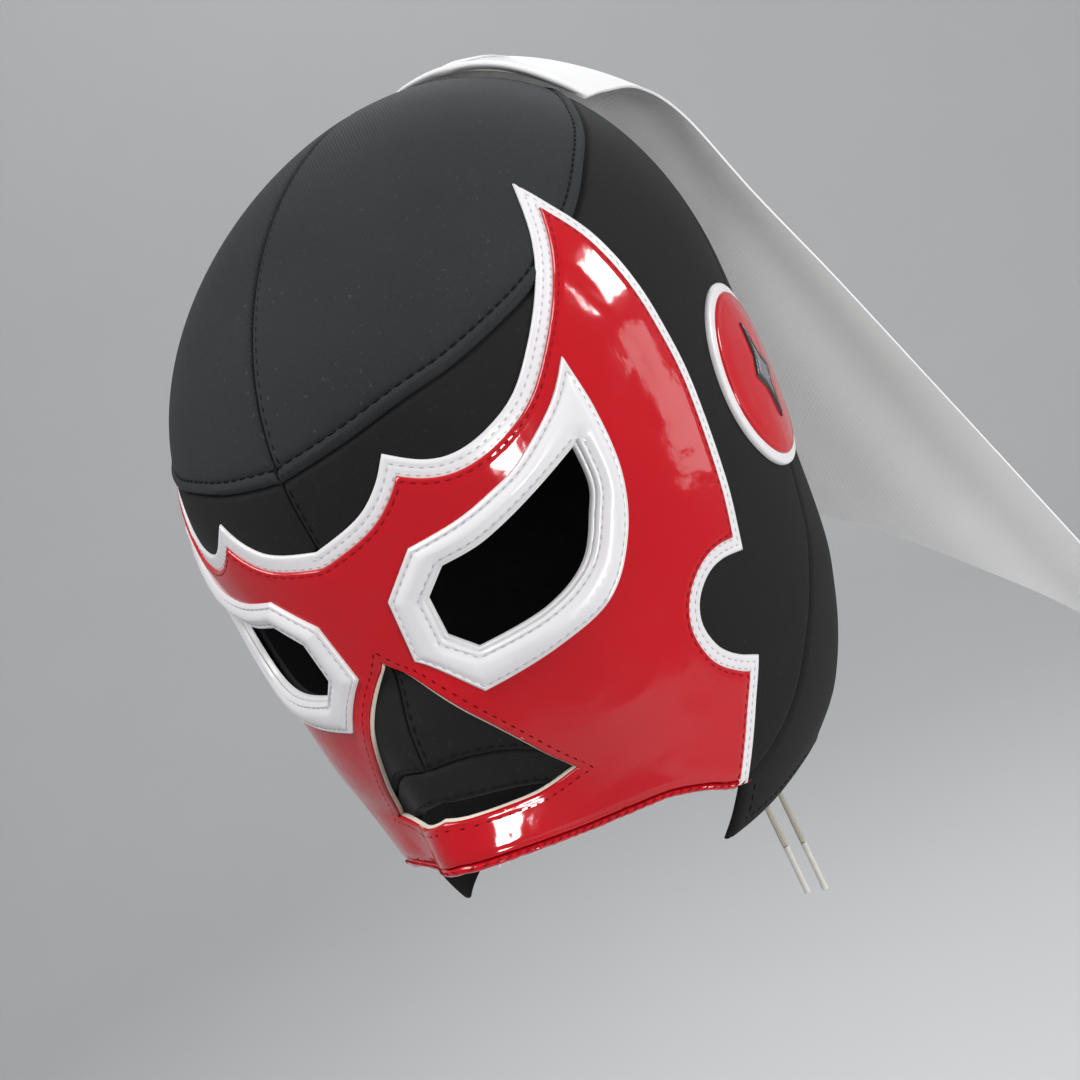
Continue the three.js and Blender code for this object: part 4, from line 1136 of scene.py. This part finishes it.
eyelet_heights = -HOOD_HEIGHT * np.linspace(0.48, 0.95, EYELETS)
eyelet_places = [at_back(SLOT_HALF + EYELET_INSET, np.array([z])) for z in eyelet_heights]
slot_heights = np.linspace(-HOOD_HEIGHT, -HOOD_HEIGHT * SLOT_TOP, 90)
slot_edge = at_back(SLOT_HALF, slot_heights)
back_seam = upright(180, -HOOD_HEIGHT * SLOT_TOP, CROWN_SEAM[-1, 1], 60)[:-1]
rear_top = CROWN_SEAM[CROWN_SEAM[:, 0] > REAR_SEAM[0, 0] + 0.3][::-1]
neck_part = NECK[1:][NECK[1:, 0] < slot_edge[0, 0] - 0.5]
rear_loop = np.vstack([rear_top, REAR_SEAM, neck_part, slot_edge, back_seam])
eyelet_holes = [ring_places(centre, 2.7, 16) for centre in eyelet_places]
pair(
    "rear", "rear_panel", side_cloth, "side_cloth", rear_loop, 0, CLOTH, soft_edge,
    holes=eyelet_holes, seams=tuck, step=2.8, cloth_cut=True,
)

# %% [markdown]
# In the opening under the nose two small black panels and a band above the lips show.
# They run on under the vinyl, so that no gap opens along its edge.

# %% Nose panels and lip band
LIP_REACH = 24
seam_reach = LIP_SEAM[LIP_SEAM[:, 0] < nose_out[-1, 0]]
centre_nose = upright(0, LIP_SEAM[0, 1], nose_out[0, 1], 24)[1:-1]
nose_loop = np.vstack([nose_out, seam_reach[::-1], centre_nose])
pair(
    "nose", "nose_panel", side_cloth, "side_cloth", nose_loop, 0, CLOTH, soft_edge,
    step=1.8, cloth_cut=True,
)
lip_top = LIP_SEAM[LIP_SEAM[:, 0] < LIP_REACH]
lip_foot = UPPER_LIP[UPPER_LIP[:, 0] < LIP_REACH]
lip_loop = np.vstack([lip_top, lip_foot[::-1], flip(lip_foot[::-1])[1:], flip(lip_top)[:-1]])
lip_piece = panel("lip_piece", lip_loop, 0, CLOTH, soft_edge, step=1.8)
settle(lip_piece, side_cloth, "side_cloth", "lip_band")

# %% [markdown]
# The white border is a wider piece of vinyl under the red one, so the red edge always
# lies on white. The border's outer edge has sharp horns at the brow and the temple,
# and the inner edge runs on for a little under the red.

# %% Where two lines cross


def cross_at(first, second):
    """Cuts both lines at their first crossing and puts the crossing on their ends."""
    a, b = side_flat(first), side_flat(second)
    for i in range(len(a) - 1):
        d = a[i + 1] - a[i]
        e = b[1:] - b[:-1]
        w = b[:-1] - a[i]
        size = d[0] * e[:, 1] - d[1] * e[:, 0]
        size = np.where(np.abs(size) < 1e-12, 1e-12, size)
        s = (w[:, 0] * e[:, 1] - w[:, 1] * e[:, 0]) / size
        t = (w[:, 0] * d[1] - w[:, 1] * d[0]) / size
        hit = np.flatnonzero((s >= 0) & (s <= 1) & (t >= 0) & (t <= 1))
        if len(hit):
            k = hit[0]
            meet = first[i] + s[k] * (first[i + 1] - first[i])
            return np.vstack([first[:i + 1], meet]), np.vstack([second[:k + 1], meet])
    raise ValueError("the lines don't cross")


# %% Face border and face
BORDER, UNDERLAP, HEM = 3.8, 6.4, 2.0
chin_line = CHIN[::-1]
beyond = np.array([[56.0, chin_line[-1, 1] - 3], [66.0, chin_line[-1, 1] - 7]])
chin_long = np.vstack([chin_line, beyond])
chin_high = beside(chin_long, -HEM)
chin_high[0, 0] = 0


def inset(distance):
    line = beside(FACE_TOP, distance)
    line[0, 0] = 0
    return line


outer, chin_outer = cross_at(FACE_TOP, chin_long)
under, chin_under = cross_at(inset(BORDER + UNDERLAP), chin_long)
chin_part = chin_long[len(chin_under) - 1:len(chin_outer) - 1]
border_loop = both(np.vstack([outer, chin_part[::-1], under[::-1]]))
red_edge, chin_red = cross_at(inset(BORDER), chin_high)
nose_cut = both(np.vstack([NOSE_SIDE, NOSE_FOOT[1:]]))
eye_red = shifted(EYE_OPENING, 2.2)
face_loop = both(np.vstack([red_edge, chin_red[::-1][1:]]))
print("border and face outlines:", len(border_loop), len(face_loop))

# %% Border piece
border_edge = ((0, 0.4), (0.2, 0.75), (0.5, 0.95), (0.9, 1))
border_seam = [(FACE_TOP, ((0, 1), (1.1, 1), (1.6, 0.78), (2.1, 1), (2.6, 0.98)))]
border = panel("border", border_loop, 2.1, 0.9, border_edge, seams=border_seam, step=1.6)
settle(border, white_vinyl, "white_vinyl", "face_border")

# %% Red face
face_edge = ((0, 0.35), (0.2, 0.75), (0.5, 0.98), (1.0, 0.8), (1.5, 1.0), (2.4, 1))
face_holes = [nose_cut, eye_red, flip(eye_red)]
face = panel("face", face_loop, 3.0, 0.9, face_edge, holes=face_holes, step=2.0)
settle(face, red_vinyl, "red_vinyl", "face_panel")

# %% [markdown]
# Along the chin the red vinyl is turned under into a thick rolled hem, and the raw
# edge of its pale backing shows round the nose opening. Both are narrow strips.

# %% Chin hem and nose backing
hem_top, _ = cross_at(chin_high, inset(BORDER + 0.2))
hem_foot, _ = cross_at(chin_long, inset(BORDER + 0.2))
hem_loop = both(np.vstack([hem_foot, hem_top[::-1]]))
roll = ((0, 0.2), (0.25, 0.6), (0.6, 0.88), (1.0, 1))


def swell(places, far):
    """The hem is sewn by hand, so it swells between its stitches."""
    return 0.16 * np.sin(places[:, 0] * 3.4) + 0.1 * np.sin(places[:, 0] * 7.7 + 1)


hem = panel("hem", hem_loop, 2.3, 2.0, roll, step=0.9, lift=swell)
settle(hem, red_vinyl, "red_vinyl", "chin_hem")
backing_in, backing_out = shifted(nose_cut, 0.4, inward=True), shifted(nose_cut, 1.6)
raw_edge = ((0, 0.6), (0.2, 0.9), (0.4, 1))
backing = panel("nose_backing", backing_out, 2.05, 0.95, raw_edge, holes=[backing_in], step=1.0)
settle(backing, lining, "white_cloth")

# %% [markdown]
# The eye trims are soft padded frames of white vinyl, sewn down along both edges, so
# they swell between two rows of stitches. The photograph shows a thin white lip inside
# the opening: the allowance that is folded under.

# %% Eye trims
trim_edge = ((0, 0.22), (0.25, 0.5), (0.7, 0.62), (1.2, 0.5), (1.7, 0.66), (2.4, 0.88), (3.2, 1))
for piece in pair(
    "trim", "eye_trim", white_vinyl, "white_vinyl", EYE_TRIM, 3.7, 2.1, trim_edge,
    holes=[EYE_OPENING], step=1.3,
):
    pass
eye_lips = pair(
    "eye_lip", None, white_vinyl, "white_vinyl", eye_red, 2.1, 1.5,
    ((0, 0.8), (0.2, 0.95), (0.5, 1)), holes=[shifted(EYE_OPENING, 0.7, inward=True)], step=1.3,
)

# %% [markdown]
# A disc of red vinyl with a white rim sits over each ear. Its outline is a circle
# laid on the head round its centre. The middle swells a little over its backing.

# %% Ear discs
DISC, RIM, DISC_TURN, DISC_DROP = 51.0, 2.8, 93.0, 0.485


def turn_of(points):
    side, ahead, behind, axis, ridge = half_axes(points[:, 2])
    y = points[:, 1] - axis
    return np.degrees(np.arctan2(points[:, 0] / side, -y / np.where(y < 0, ahead, behind)))


def on_disc(pairs):
    """Places of points that are given to the side of and above the disc's centre."""
    point, _, _, out = directions(np.array([DISC_TURN]), np.array([-DISC_DROP * HOOD_HEIGHT]))
    up = unit(np.array([0, 0, 1.0]) - out[0, 2] * out[0])
    across = np.cross(up, out[0])
    target = point + np.array(pairs)[:, :1] * across + np.array(pairs)[:, 1:] * up
    return np.stack([turn_of(target), target[:, 2]], 1)


def disc_ring(radius, count):
    angle = np.linspace(0, 2 * np.pi, count, endpoint=False)
    return on_disc(np.stack([radius * np.cos(angle), radius * np.sin(angle)], 1))


dome = ((0, 0.4), (0.3, 0.8), (0.8, 1.0), (1.4, 0.85), (2.2, 1.05), (6, 1.35), (14, 1.7), (22, 1.8))
pair(
    "rim", "ear_rim", white_vinyl, "white_vinyl", disc_ring(DISC / 2, 120), 2.1, 1.3,
    border_edge, holes=[disc_ring(DISC / 2 - RIM - 1, 104)], step=1.2,
)
pair(
    "disc", "ear_disc", red_vinyl, "red_vinyl", disc_ring(DISC / 2 - RIM, 110), 3.1, 0.9,
    dome, step=1.8,
)

# %% [markdown]
# On each disc is a plain four-pointed star: a black outline with a grey middle. Both
# are cut from thin vinyl and follow the swell of the disc.

# %% Ear stars
STAR_WIDTH, STAR_LENGTH, STAR_WAIST, STAR_HOLE = 13.0, 27.0, 0.34, 0.64


def star(share):
    """The star's outline: four tips, and between them four inner corners."""
    half_wide, half_long, corners = STAR_WIDTH / 2, STAR_LENGTH / 2, []
    for a, b in ((1, 0), (0, 1), (-1, 0), (0, -1)):
        corners.append((a * half_wide, b * half_long))
        corners.append(((a - b) * STAR_WAIST * half_wide, (b + a) * STAR_WAIST * half_long))
    corners = np.array(corners) * share
    steps = np.arange(10)[:, None] / 10
    rows = [a * (1 - steps) + b * steps for a, b in zip(corners, np.roll(corners, -1, 0))]
    return on_disc(np.vstack(rows))


def on_dome(places, far):
    reach = np.linalg.norm(on_head(places) - on_head(on_disc([(0, 0)])), axis=1)
    return 0.9 * profile(DISC / 2 - RIM - reach, dome)


thin = ((0, 0.5), (0.2, 0.9), (0.4, 1))
pair(
    "star", "ear_star", star_black, "star_black", star(1), 3.3, 0.5, thin,
    holes=[star(STAR_HOLE)], step=0.8, lift=on_dome,
)
pair(
    "star_middle", "ear_star_centre", star_grey, "star_grey", star(STAR_HOLE - 0.02), 3.3, 0.45,
    thin, step=0.8, lift=on_dome,
)

# %% [markdown]
# Seams are what makes sewn work look real. One stitch is a small stretched ball,
# modelled once. Copies of it are laid end to end along each seam line, at the pitch
# that the photograph shows, and joined into one mesh for each colour of thread.

# %% One stitch
start_clean()
bpy.ops.mesh.primitive_uv_sphere_add(segments=6, ring_count=4, radius=0.5, location=(0, 0, 0))
ball = bpy.context.object
STITCH_POINTS = np.array([tuple(v.co) for v in ball.data.vertices])[:, [2, 0, 1]]
STITCH_FACES = [list(f.vertices) for f in ball.data.polygons]
bpy.data.objects.remove(ball)
print("one stitch:", len(STITCH_POINTS), "points")


def stitches(line, offset, pitch=2.7, closed=False, slant=0.0):
    """Centre, direction and way out of each stitch along a line of places."""
    if closed:
        line = np.vstack([line, line[:1]])
    along = lengths(line)
    count = max(1, round(along[-1] / pitch))
    at = (np.arange(count) + 0.5) * along[-1] / count
    before, place, after = (
        np.stack([np.interp(at + d, along, line[:, k]) for k in range(2)], 1)
        for d in (-0.4, 0, 0.4)
    )
    out = directions(*place.T)[3]
    ahead = unit(on_head(after) - on_head(before))
    if slant:
        ahead = unit(ahead + slant * np.cross(out, ahead))
    return skin(*place.T, np.full(count, offset)), ahead, out


def sew(name, rows, size, material, slot, mirror=True):
    """One mesh of stitches: size is the length, width and height of each."""
    rows = [np.stack(row, 1) for row in rows]
    if mirror:
        rows += [row * (-1, 1, 1) for row in rows]
    every = np.concatenate(rows)
    centre, ahead, out = every[:, 0], every[:, 1], every[:, 2]
    side = unit(np.cross(out, ahead))
    out = np.cross(ahead, side)
    local = STITCH_POINTS * size
    points = (
        centre[:, None] + local[None, :, :1] * ahead[:, None]
        + local[None, :, 1:2] * side[:, None] + local[None, :, 2:] * out[:, None]
    )
    faces = [[v + i * len(local) for v in f] for i in range(len(every)) for f in STITCH_FACES]
    piece = build(name, points.reshape(-1, 3), faces, np.tile(local[:, :2] / 10, (len(every), 1)))
    smooth(piece, 180)
    settle(piece, material, slot)
    print(name, "stitches:", len(every))
    return piece


# %% Stitch rows
CREST, PLAIN, BORDER_PITCH = 2.05, (1.9, 0.5, 0.4), 2.1


def at_edge(distance, offset, pitch):
    """A row beside the face's outline, which ends at the hem."""
    return stitches(cross_at(inset(distance), chin_high)[0], offset, pitch)


def right_of_centre(line, distance):
    return slide(line, np.tile([distance, 0, 0], (len(line), 1)))


top_row = beside(CROWN_SEAM, -TOPSTITCH)
sew("crown_topstitch", [stitches(top_row, 1.68, 2.9)], (2.1, 0.7, 0.5), black_thread, "crown_cloth")
centre_row = stitches(right_of_centre(ridge_line[::-1], 1.7), CREST - 0.08, 2.8)
sew("crown_centre_stitch", [centre_row], PLAIN, black_thread, "crown_cloth", mirror=False)
brow_line = upright(0, CROWN_SEAM[0, 1] - 2, FACE_TOP[0, 1] - 2, 20)
nose_line = upright(0, NOSE_SIDE[0, 1], LIP_SEAM[0, 1], 24)
sew("centre_stitches", [
    stitches(right_of_centre(line, 1.6), CREST) for line in (brow_line, nose_line)
], PLAIN, black_thread, "side_cloth", mirror=False)
sew("seam_stitches", [
    stitches(beside(line, distance), CREST) for line, distance in (
        (LIP_SEAM[LIP_SEAM[:, 0] < 22], -1.5), (UPPER_LIP[UPPER_LIP[:, 0] < 20], -1.5),
        (NECK, -4), (slot_edge, -2.5),
    )
], PLAIN, black_thread, "side_cloth")
sew("red_stitches", [
    at_edge(BORDER + 1.0, 3.74, 2.4), stitches(shifted(nose_cut, 2.0), 3.82, 2.4, closed=True),
], (1.5, 0.5, 0.36), red_thread, "red_vinyl")
sew("border_stitches", [
    at_edge(1.6, 2.86, BORDER_PITCH), at_edge(BORDER - 0.55, 2.98, BORDER_PITCH),
], (1.15, 0.42, 0.3), grey_thread, "white_vinyl")
trim_ring = [EYE_TRIM, EYE_OPENING]
sew("trim_stitches", [
    stitches(shifted(loop, 1.2, inward=True, region=trim_ring), 4.78, 2.15, True)
    for loop in trim_ring
], (1.2, 0.45, 0.34), grey_thread, "white_vinyl")
hem_row = stitches(beside(chin_line, -1.3), 4.2, 2.2, slant=0.6)
sew("hem_stitches", [hem_row], (1.7, 0.45, 0.45), red_thread, "red_vinyl")

# %% [markdown]
# An eyelet is a pressed metal ring. It starts as a torus that is flattened, and a
# short barrel is joined to it. It is modelled once and copied to its ten holes.

# %% One eyelet
RING_RADIUS, RING_THICK, BARREL_RADIUS, BARREL_LENGTH, EYELET_SEAT = 3.6, 0.85, 2.75, 3.0, 2.6
start_clean()
bpy.ops.mesh.primitive_torus_add(
    major_radius=RING_RADIUS * MM, minor_radius=RING_THICK * MM,
    major_segments=32, minor_segments=10, location=(0, 0, 0),
)
ring = bpy.context.object
bpy.ops.transform.resize(value=(1, 1, 0.6), center_override=(0, 0, 0))
bpy.ops.object.transform_apply(location=False, rotation=True, scale=True)
bpy.ops.mesh.primitive_cylinder_add(
    vertices=32, radius=BARREL_RADIUS * MM, depth=BARREL_LENGTH * MM,
    end_fill_type="NOTHING", location=(0, 0, -1.3 * MM),
)
barrel = bpy.context.object
wall = barrel.modifiers.new("wall", "SOLIDIFY")
wall.thickness, wall.offset = 0.3 * MM, 1
bpy.ops.object.modifier_apply(modifier=wall.name)
bpy.ops.object.transform_apply(location=True, rotation=True, scale=True)
ring.select_set(True)
bpy.context.view_layer.objects.active = ring
bpy.ops.object.join()
smooth(ring)
print("one eyelet:", len(ring.data.polygons), "faces")

# %% Ten eyelets
for i, place in enumerate(eyelet_places):
    point, _, _, out = directions(place[:, 0], place[:, 1])
    for side, sign in (("left", 1), ("right", -1)):
        eyelet = bpy.data.objects.new(f"eyelet_ring_{side}_{i + 1}", ring.data.copy())
        bpy.context.collection.objects.link(eyelet)
        turned = Vector(out[0] * (sign, 1, 1)).to_track_quat("Z", "Y").to_matrix().to_4x4()
        seat = Vector((point[0] + out[0] * EYELET_SEAT) * (sign, 1, 1)) * MM
        eyelet.data.transform(Matrix.Translation(seat) @ turned)
        settle(eyelet, eyelet_metal, "eyelet", f"eyelet_{side}_{i + 1}")
bpy.data.objects.remove(ring)
print("eyelets placed:", 2 * len(eyelet_places))

# %% [markdown]
# The held lace runs like a shoe's: a bar under the top pair, then each half comes up
# through an eyelet, crosses over the other and goes under the cloth to the next.

# %% Held lace
OVER, UNDER, TURN_AT, LAST_AT = 4.8, -2.0, 11.3, 8.9


def lace_point(x, z, depth):
    place = at_back(abs(x), np.array([z]))
    point, _, _, out = directions(place[:, 0], place[:, 1])
    return (point[0] + out[0] * depth) * (1 if x >= 0 else -1, 1, 1)


def lace_half(side):
    points, at = [], side
    centre_depth = OVER if side > 0 else OVER - 3.0
    for pair, z in enumerate(eyelet_heights):
        for i in range(5):
            angle = math.pi * (i / 4 - 0.5)
            radius = (OVER - UNDER) / 2
            x = at * (TURN_AT + radius * math.cos(angle))
            points.append(lace_point(x, z, (OVER + UNDER) / 2 + radius * math.sin(angle)))
        if pair == EYELETS - 1:
            points.append(lace_point(at * LAST_AT, z, OVER))
            break
        following = eyelet_heights[pair + 1]
        points.append(lace_point(at * SLOT_HALF, z + 0.25 * (following - z), OVER))
        points.append(lace_point(0, (z + following) / 2, centre_depth))
        points.append(lace_point(-at * SLOT_HALF, z + 0.75 * (following - z), UNDER))
        at = -at
    return points


bar = [lace_point(0, eyelet_heights[0], UNDER)]
held_route = smooth_path(lace_half(-1)[::-1] + bar + lace_half(1), 0.8)
held_sizes = np.tile([LACE_WIDTH, LACE_FLAT], (len(held_route), 1))
held = sweep("held_lace", held_route, held_sizes)
smooth(held)
settle(held, lace_cloth, "lace", "back_lace")
print("held lace length mm:", round(float(walked(held_route)[-1])))

# %% [markdown]
# A white cloth is sewn along the crown and hangs behind to below the neck. Its rows
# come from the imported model: a middle line, an edge line and an arch between them.
# Slow folds are added below, where nothing holds the cloth.

# %% The hanging cloth's shape
DRAPE = np.array([
    [0.02, -0.0135, 0.354, 0.05, 0.104, 2.3], [0.1, -0.03, 0.372, 0.13, 0.101, 2.3],
    [0.24, -0.012, 0.395, 0.235, 0.112, 2.2], [0.35, 0.08, 0.432, 0.3, 0.17, 2],
    [0.395, 0.22, 0.492, 0.335, 0.31, 1.8], [0.41, 0.38, 0.578, 0.35, 0.468, 1.6],
    [0.41, 0.53, 0.668, 0.35, 0.634, 1.5], [0.41, 0.64, 0.765, 0.35, 0.812, 1.5],
    [0.41, 0.728, 1, 0.35, 1.25, 1.6],
])
DRAPE_CLEARANCE, SHEET_THICK = 3.8, 0.8
DOME_CENTRE = np.array([0, -CROWN_SETBACK, -CROWN_HEIGHT])
ROW_AT = np.linspace(0, 1, 801)


def row_curve(column):
    rows = len(DRAPE) - 1
    i = np.minimum((ROW_AT * rows).astype(int), rows - 1)
    t = ROW_AT * rows - i
    return cubic(*(DRAPE[np.clip(i + k, 0, rows), column] for k in (-1, 0, 1, 2)), t)


ROW_CURVES = [row_curve(column) for column in range(6)]


def offset_of(points):
    """How far points lie outside the head form, found by halving a range."""
    low, high = np.full(len(points), -50.0), np.full(len(points), 300.0)
    for _ in range(36):
        middle = (low + high) / 2
        side, ahead, behind, axis, _ = half_axes(points[:, 2], middle)
        y = points[:, 1] - axis
        reach = np.where(y < 0, ahead, behind)
        far = (points[:, 0] / np.maximum(side, 1e-6)) ** 2 + (y / np.maximum(reach, 1e-6)) ** 2
        within = (points[:, 2] < middle) & (far < 1)
        high, low = np.where(within, middle, high), np.where(within, low, middle)
    return (low + high) / 2


def drape_point(across, along):
    """A point of the cloth, from -1 to 1 across and from 0 to 1 down."""
    centre_back, centre_drop, edge_side, edge_back, edge_drop, arch = (
        np.interp(along, ROW_AT, curve) for curve in ROW_CURVES
    )
    u = np.abs(across)
    y = (centre_back + (edge_back - centre_back) * u * u) * HEAD_LENGTH
    z = -(centre_drop + (edge_drop - centre_drop) * u**arch) * HOOD_HEIGHT
    points = np.stack([across * edge_side * HEAD_WIDTH, y, z], -1).reshape(-1, 3)
    short = np.maximum(DRAPE_CLEARANCE - offset_of(points), 0)[:, None]
    return points + unit(points - DOME_CENTRE) * short


def drape_frame(across, along):
    """The point, the way down the cloth, and the way out of it."""
    h = 0.005
    du = drape_point(across + h, along) - drape_point(across - h, along)
    lower, upper = np.minimum(along + h, 1), np.maximum(along - h, 0)
    dv = drape_point(across, lower) - drape_point(across, upper)
    return drape_point(across, along), unit(dv), unit(np.cross(du, dv))


# %% Where the front edge of the cloth lies
EDGE_BACK, ARCH, ARCH_AT, ARCH_WIDE, FIT = 0.03, 4.2, 0.62, 0.25, 2.95


def ease(share):
    """From 0 to 1 with a gentle start and end."""
    share = np.clip(share, 0, 1)
    return share**2 * (3 - 2 * share)


def front_edge(across):
    """On the wearer's right the edge slips back behind the crown."""
    return EDGE_BACK * ease((0.14 - across) / 0.22)


def stand_off(across, along, points):
    """Near the edge the cloth arches up on one side, and lies close on the other."""
    arch = ARCH * np.exp(-(((across - ARCH_AT) / ARCH_WIDE) ** 2))
    arch = arch * along / EDGE_BACK * np.exp(1 - along / EDGE_BACK)
    close = ease((0.34 - across) / 0.34) * np.exp(-((along / 0.25) ** 2))
    return arch - close * np.maximum(offset_of(points) - FIT, 0)


# %% The hanging cloth
COLUMNS, ROWS, FOLD_DEPTH = 96, 150, 0.9
shape = (ROWS + 1, COLUMNS + 1)
u_grid, v_grid = np.meshgrid(np.linspace(-1, 1, COLUMNS + 1), np.linspace(0, 1, ROWS + 1))
u_all, v_all = u_grid.ravel(), v_grid.ravel()
v_all = front_edge(u_all) + (1 - front_edge(u_all)) * v_all
sheet_points, _, sheet_out = drape_frame(u_all, v_all)
wave = (
    np.sin(u_all * 7.3 + 0.9 + 1.2 * v_all) + 0.6 * np.sin(u_all * 13.1 - 0.7 - 1.7 * v_all)
    + 0.35 * np.sin(u_all * 23 + 3.1 * v_all)
)
deep = FOLD_DEPTH * np.clip((v_all - 0.12) / 0.6, 0, 1) ** 1.3 * (wave + 1.9)
sheet_points = sheet_points + sheet_out * (deep + stand_off(u_all, v_all, sheet_points))[:, None]
at = np.arange(shape[0] * shape[1]).reshape(shape)
quads = np.stack([at[:-1, :-1], at[1:, :-1], at[1:, 1:], at[:-1, 1:]], -1).reshape(-1, 4)
step_down = np.linalg.norm(np.diff(sheet_points.reshape(*shape, 3), axis=0), axis=2)
fallen = np.vstack([np.zeros((1, shape[1])), np.cumsum(step_down, 0)]).ravel()
pattern = np.stack([sheet_points[:, 0], -fallen], 1) / 10
no_edge = np.full(len(sheet_points), 9.0)
cloth_sheet = build("hanging_cloth", sheet_points, quads, pattern, no_edge)
wall = cloth_sheet.modifiers.new("cloth thickness", "SOLIDIFY")
wall.thickness, wall.offset = SHEET_THICK * MM, 0
select_only(cloth_sheet)
bpy.ops.object.modifier_apply(modifier=wall.name)
smooth(cloth_sheet, 60)
settle(cloth_sheet, white_cloth, "white_cloth", "back_cloth")

# %% [markdown]
# The front edge of the cloth is folded over on itself and shows as a bright rounded
# band. Towards the wearer's right it thins out into a point that lies on the crown.

# %% Front fold
FOLD_WIDE, FOLD_THICK, FOLD_LIFT, FOLD_SIDES = 7.0, 2.6, 0.6, 20
fold_u = np.linspace(-1.0, 1.0, 120)
fold_v = front_edge(fold_u) + 0.012
fold_line, fold_down, fold_out = drape_frame(fold_u, fold_v)
lift = FOLD_LIFT + stand_off(fold_u, 0.3 * fold_v, fold_line)
fold_line = fold_line + fold_out * lift[:, None]
taper = np.clip((fold_u + 0.02) / 0.35, 0.12, 1) ** 0.8
taper = taper * np.clip((1.0 - fold_u) / 0.12, 0.12, 1) ** 0.6
pinch = 0.35 * np.exp(-(((fold_u - 0.4) / 0.05) ** 2))
crimp = 1 - pinch + 0.12 * np.exp(-(((fold_u - 0.5) / 0.06) ** 2))
sizes = np.stack([FOLD_WIDE * taper * crimp, FOLD_THICK * taper ** 0.6], 1)
rings = oval_rings(fold_line, fold_down, fold_out, sizes, FOLD_SIDES)
round_it = np.linspace(0, 4 * np.pi, FOLD_SIDES, endpoint=False)
fold_pattern = np.stack([
    np.repeat(fold_line[:, 0], FOLD_SIDES), np.tile(round_it, len(fold_u)),
], 1) / 10
front_fold = build(
    "front_fold", rings, tube_faces(len(fold_u), FOLD_SIDES), fold_pattern,
    np.full(len(rings), 9.0),
)
select_only(front_fold)
bpy.ops.object.mode_set(mode="EDIT")
bpy.ops.mesh.select_all(action="SELECT")
bpy.ops.mesh.normals_make_consistent(inside=False)
bpy.ops.object.mode_set(mode="OBJECT")
smooth(front_fold, 80)
settle(front_fold, white_cloth, "white_cloth")

# %% Sizes
added = [o for o in bpy.data.objects if o.type == "MESH" and o.name not in packed_names]
triangles = sum(len(f.vertices) - 2 for o in added for f in o.data.polygons)
print("pieces and floor:", len(added), "triangles:", triangles)
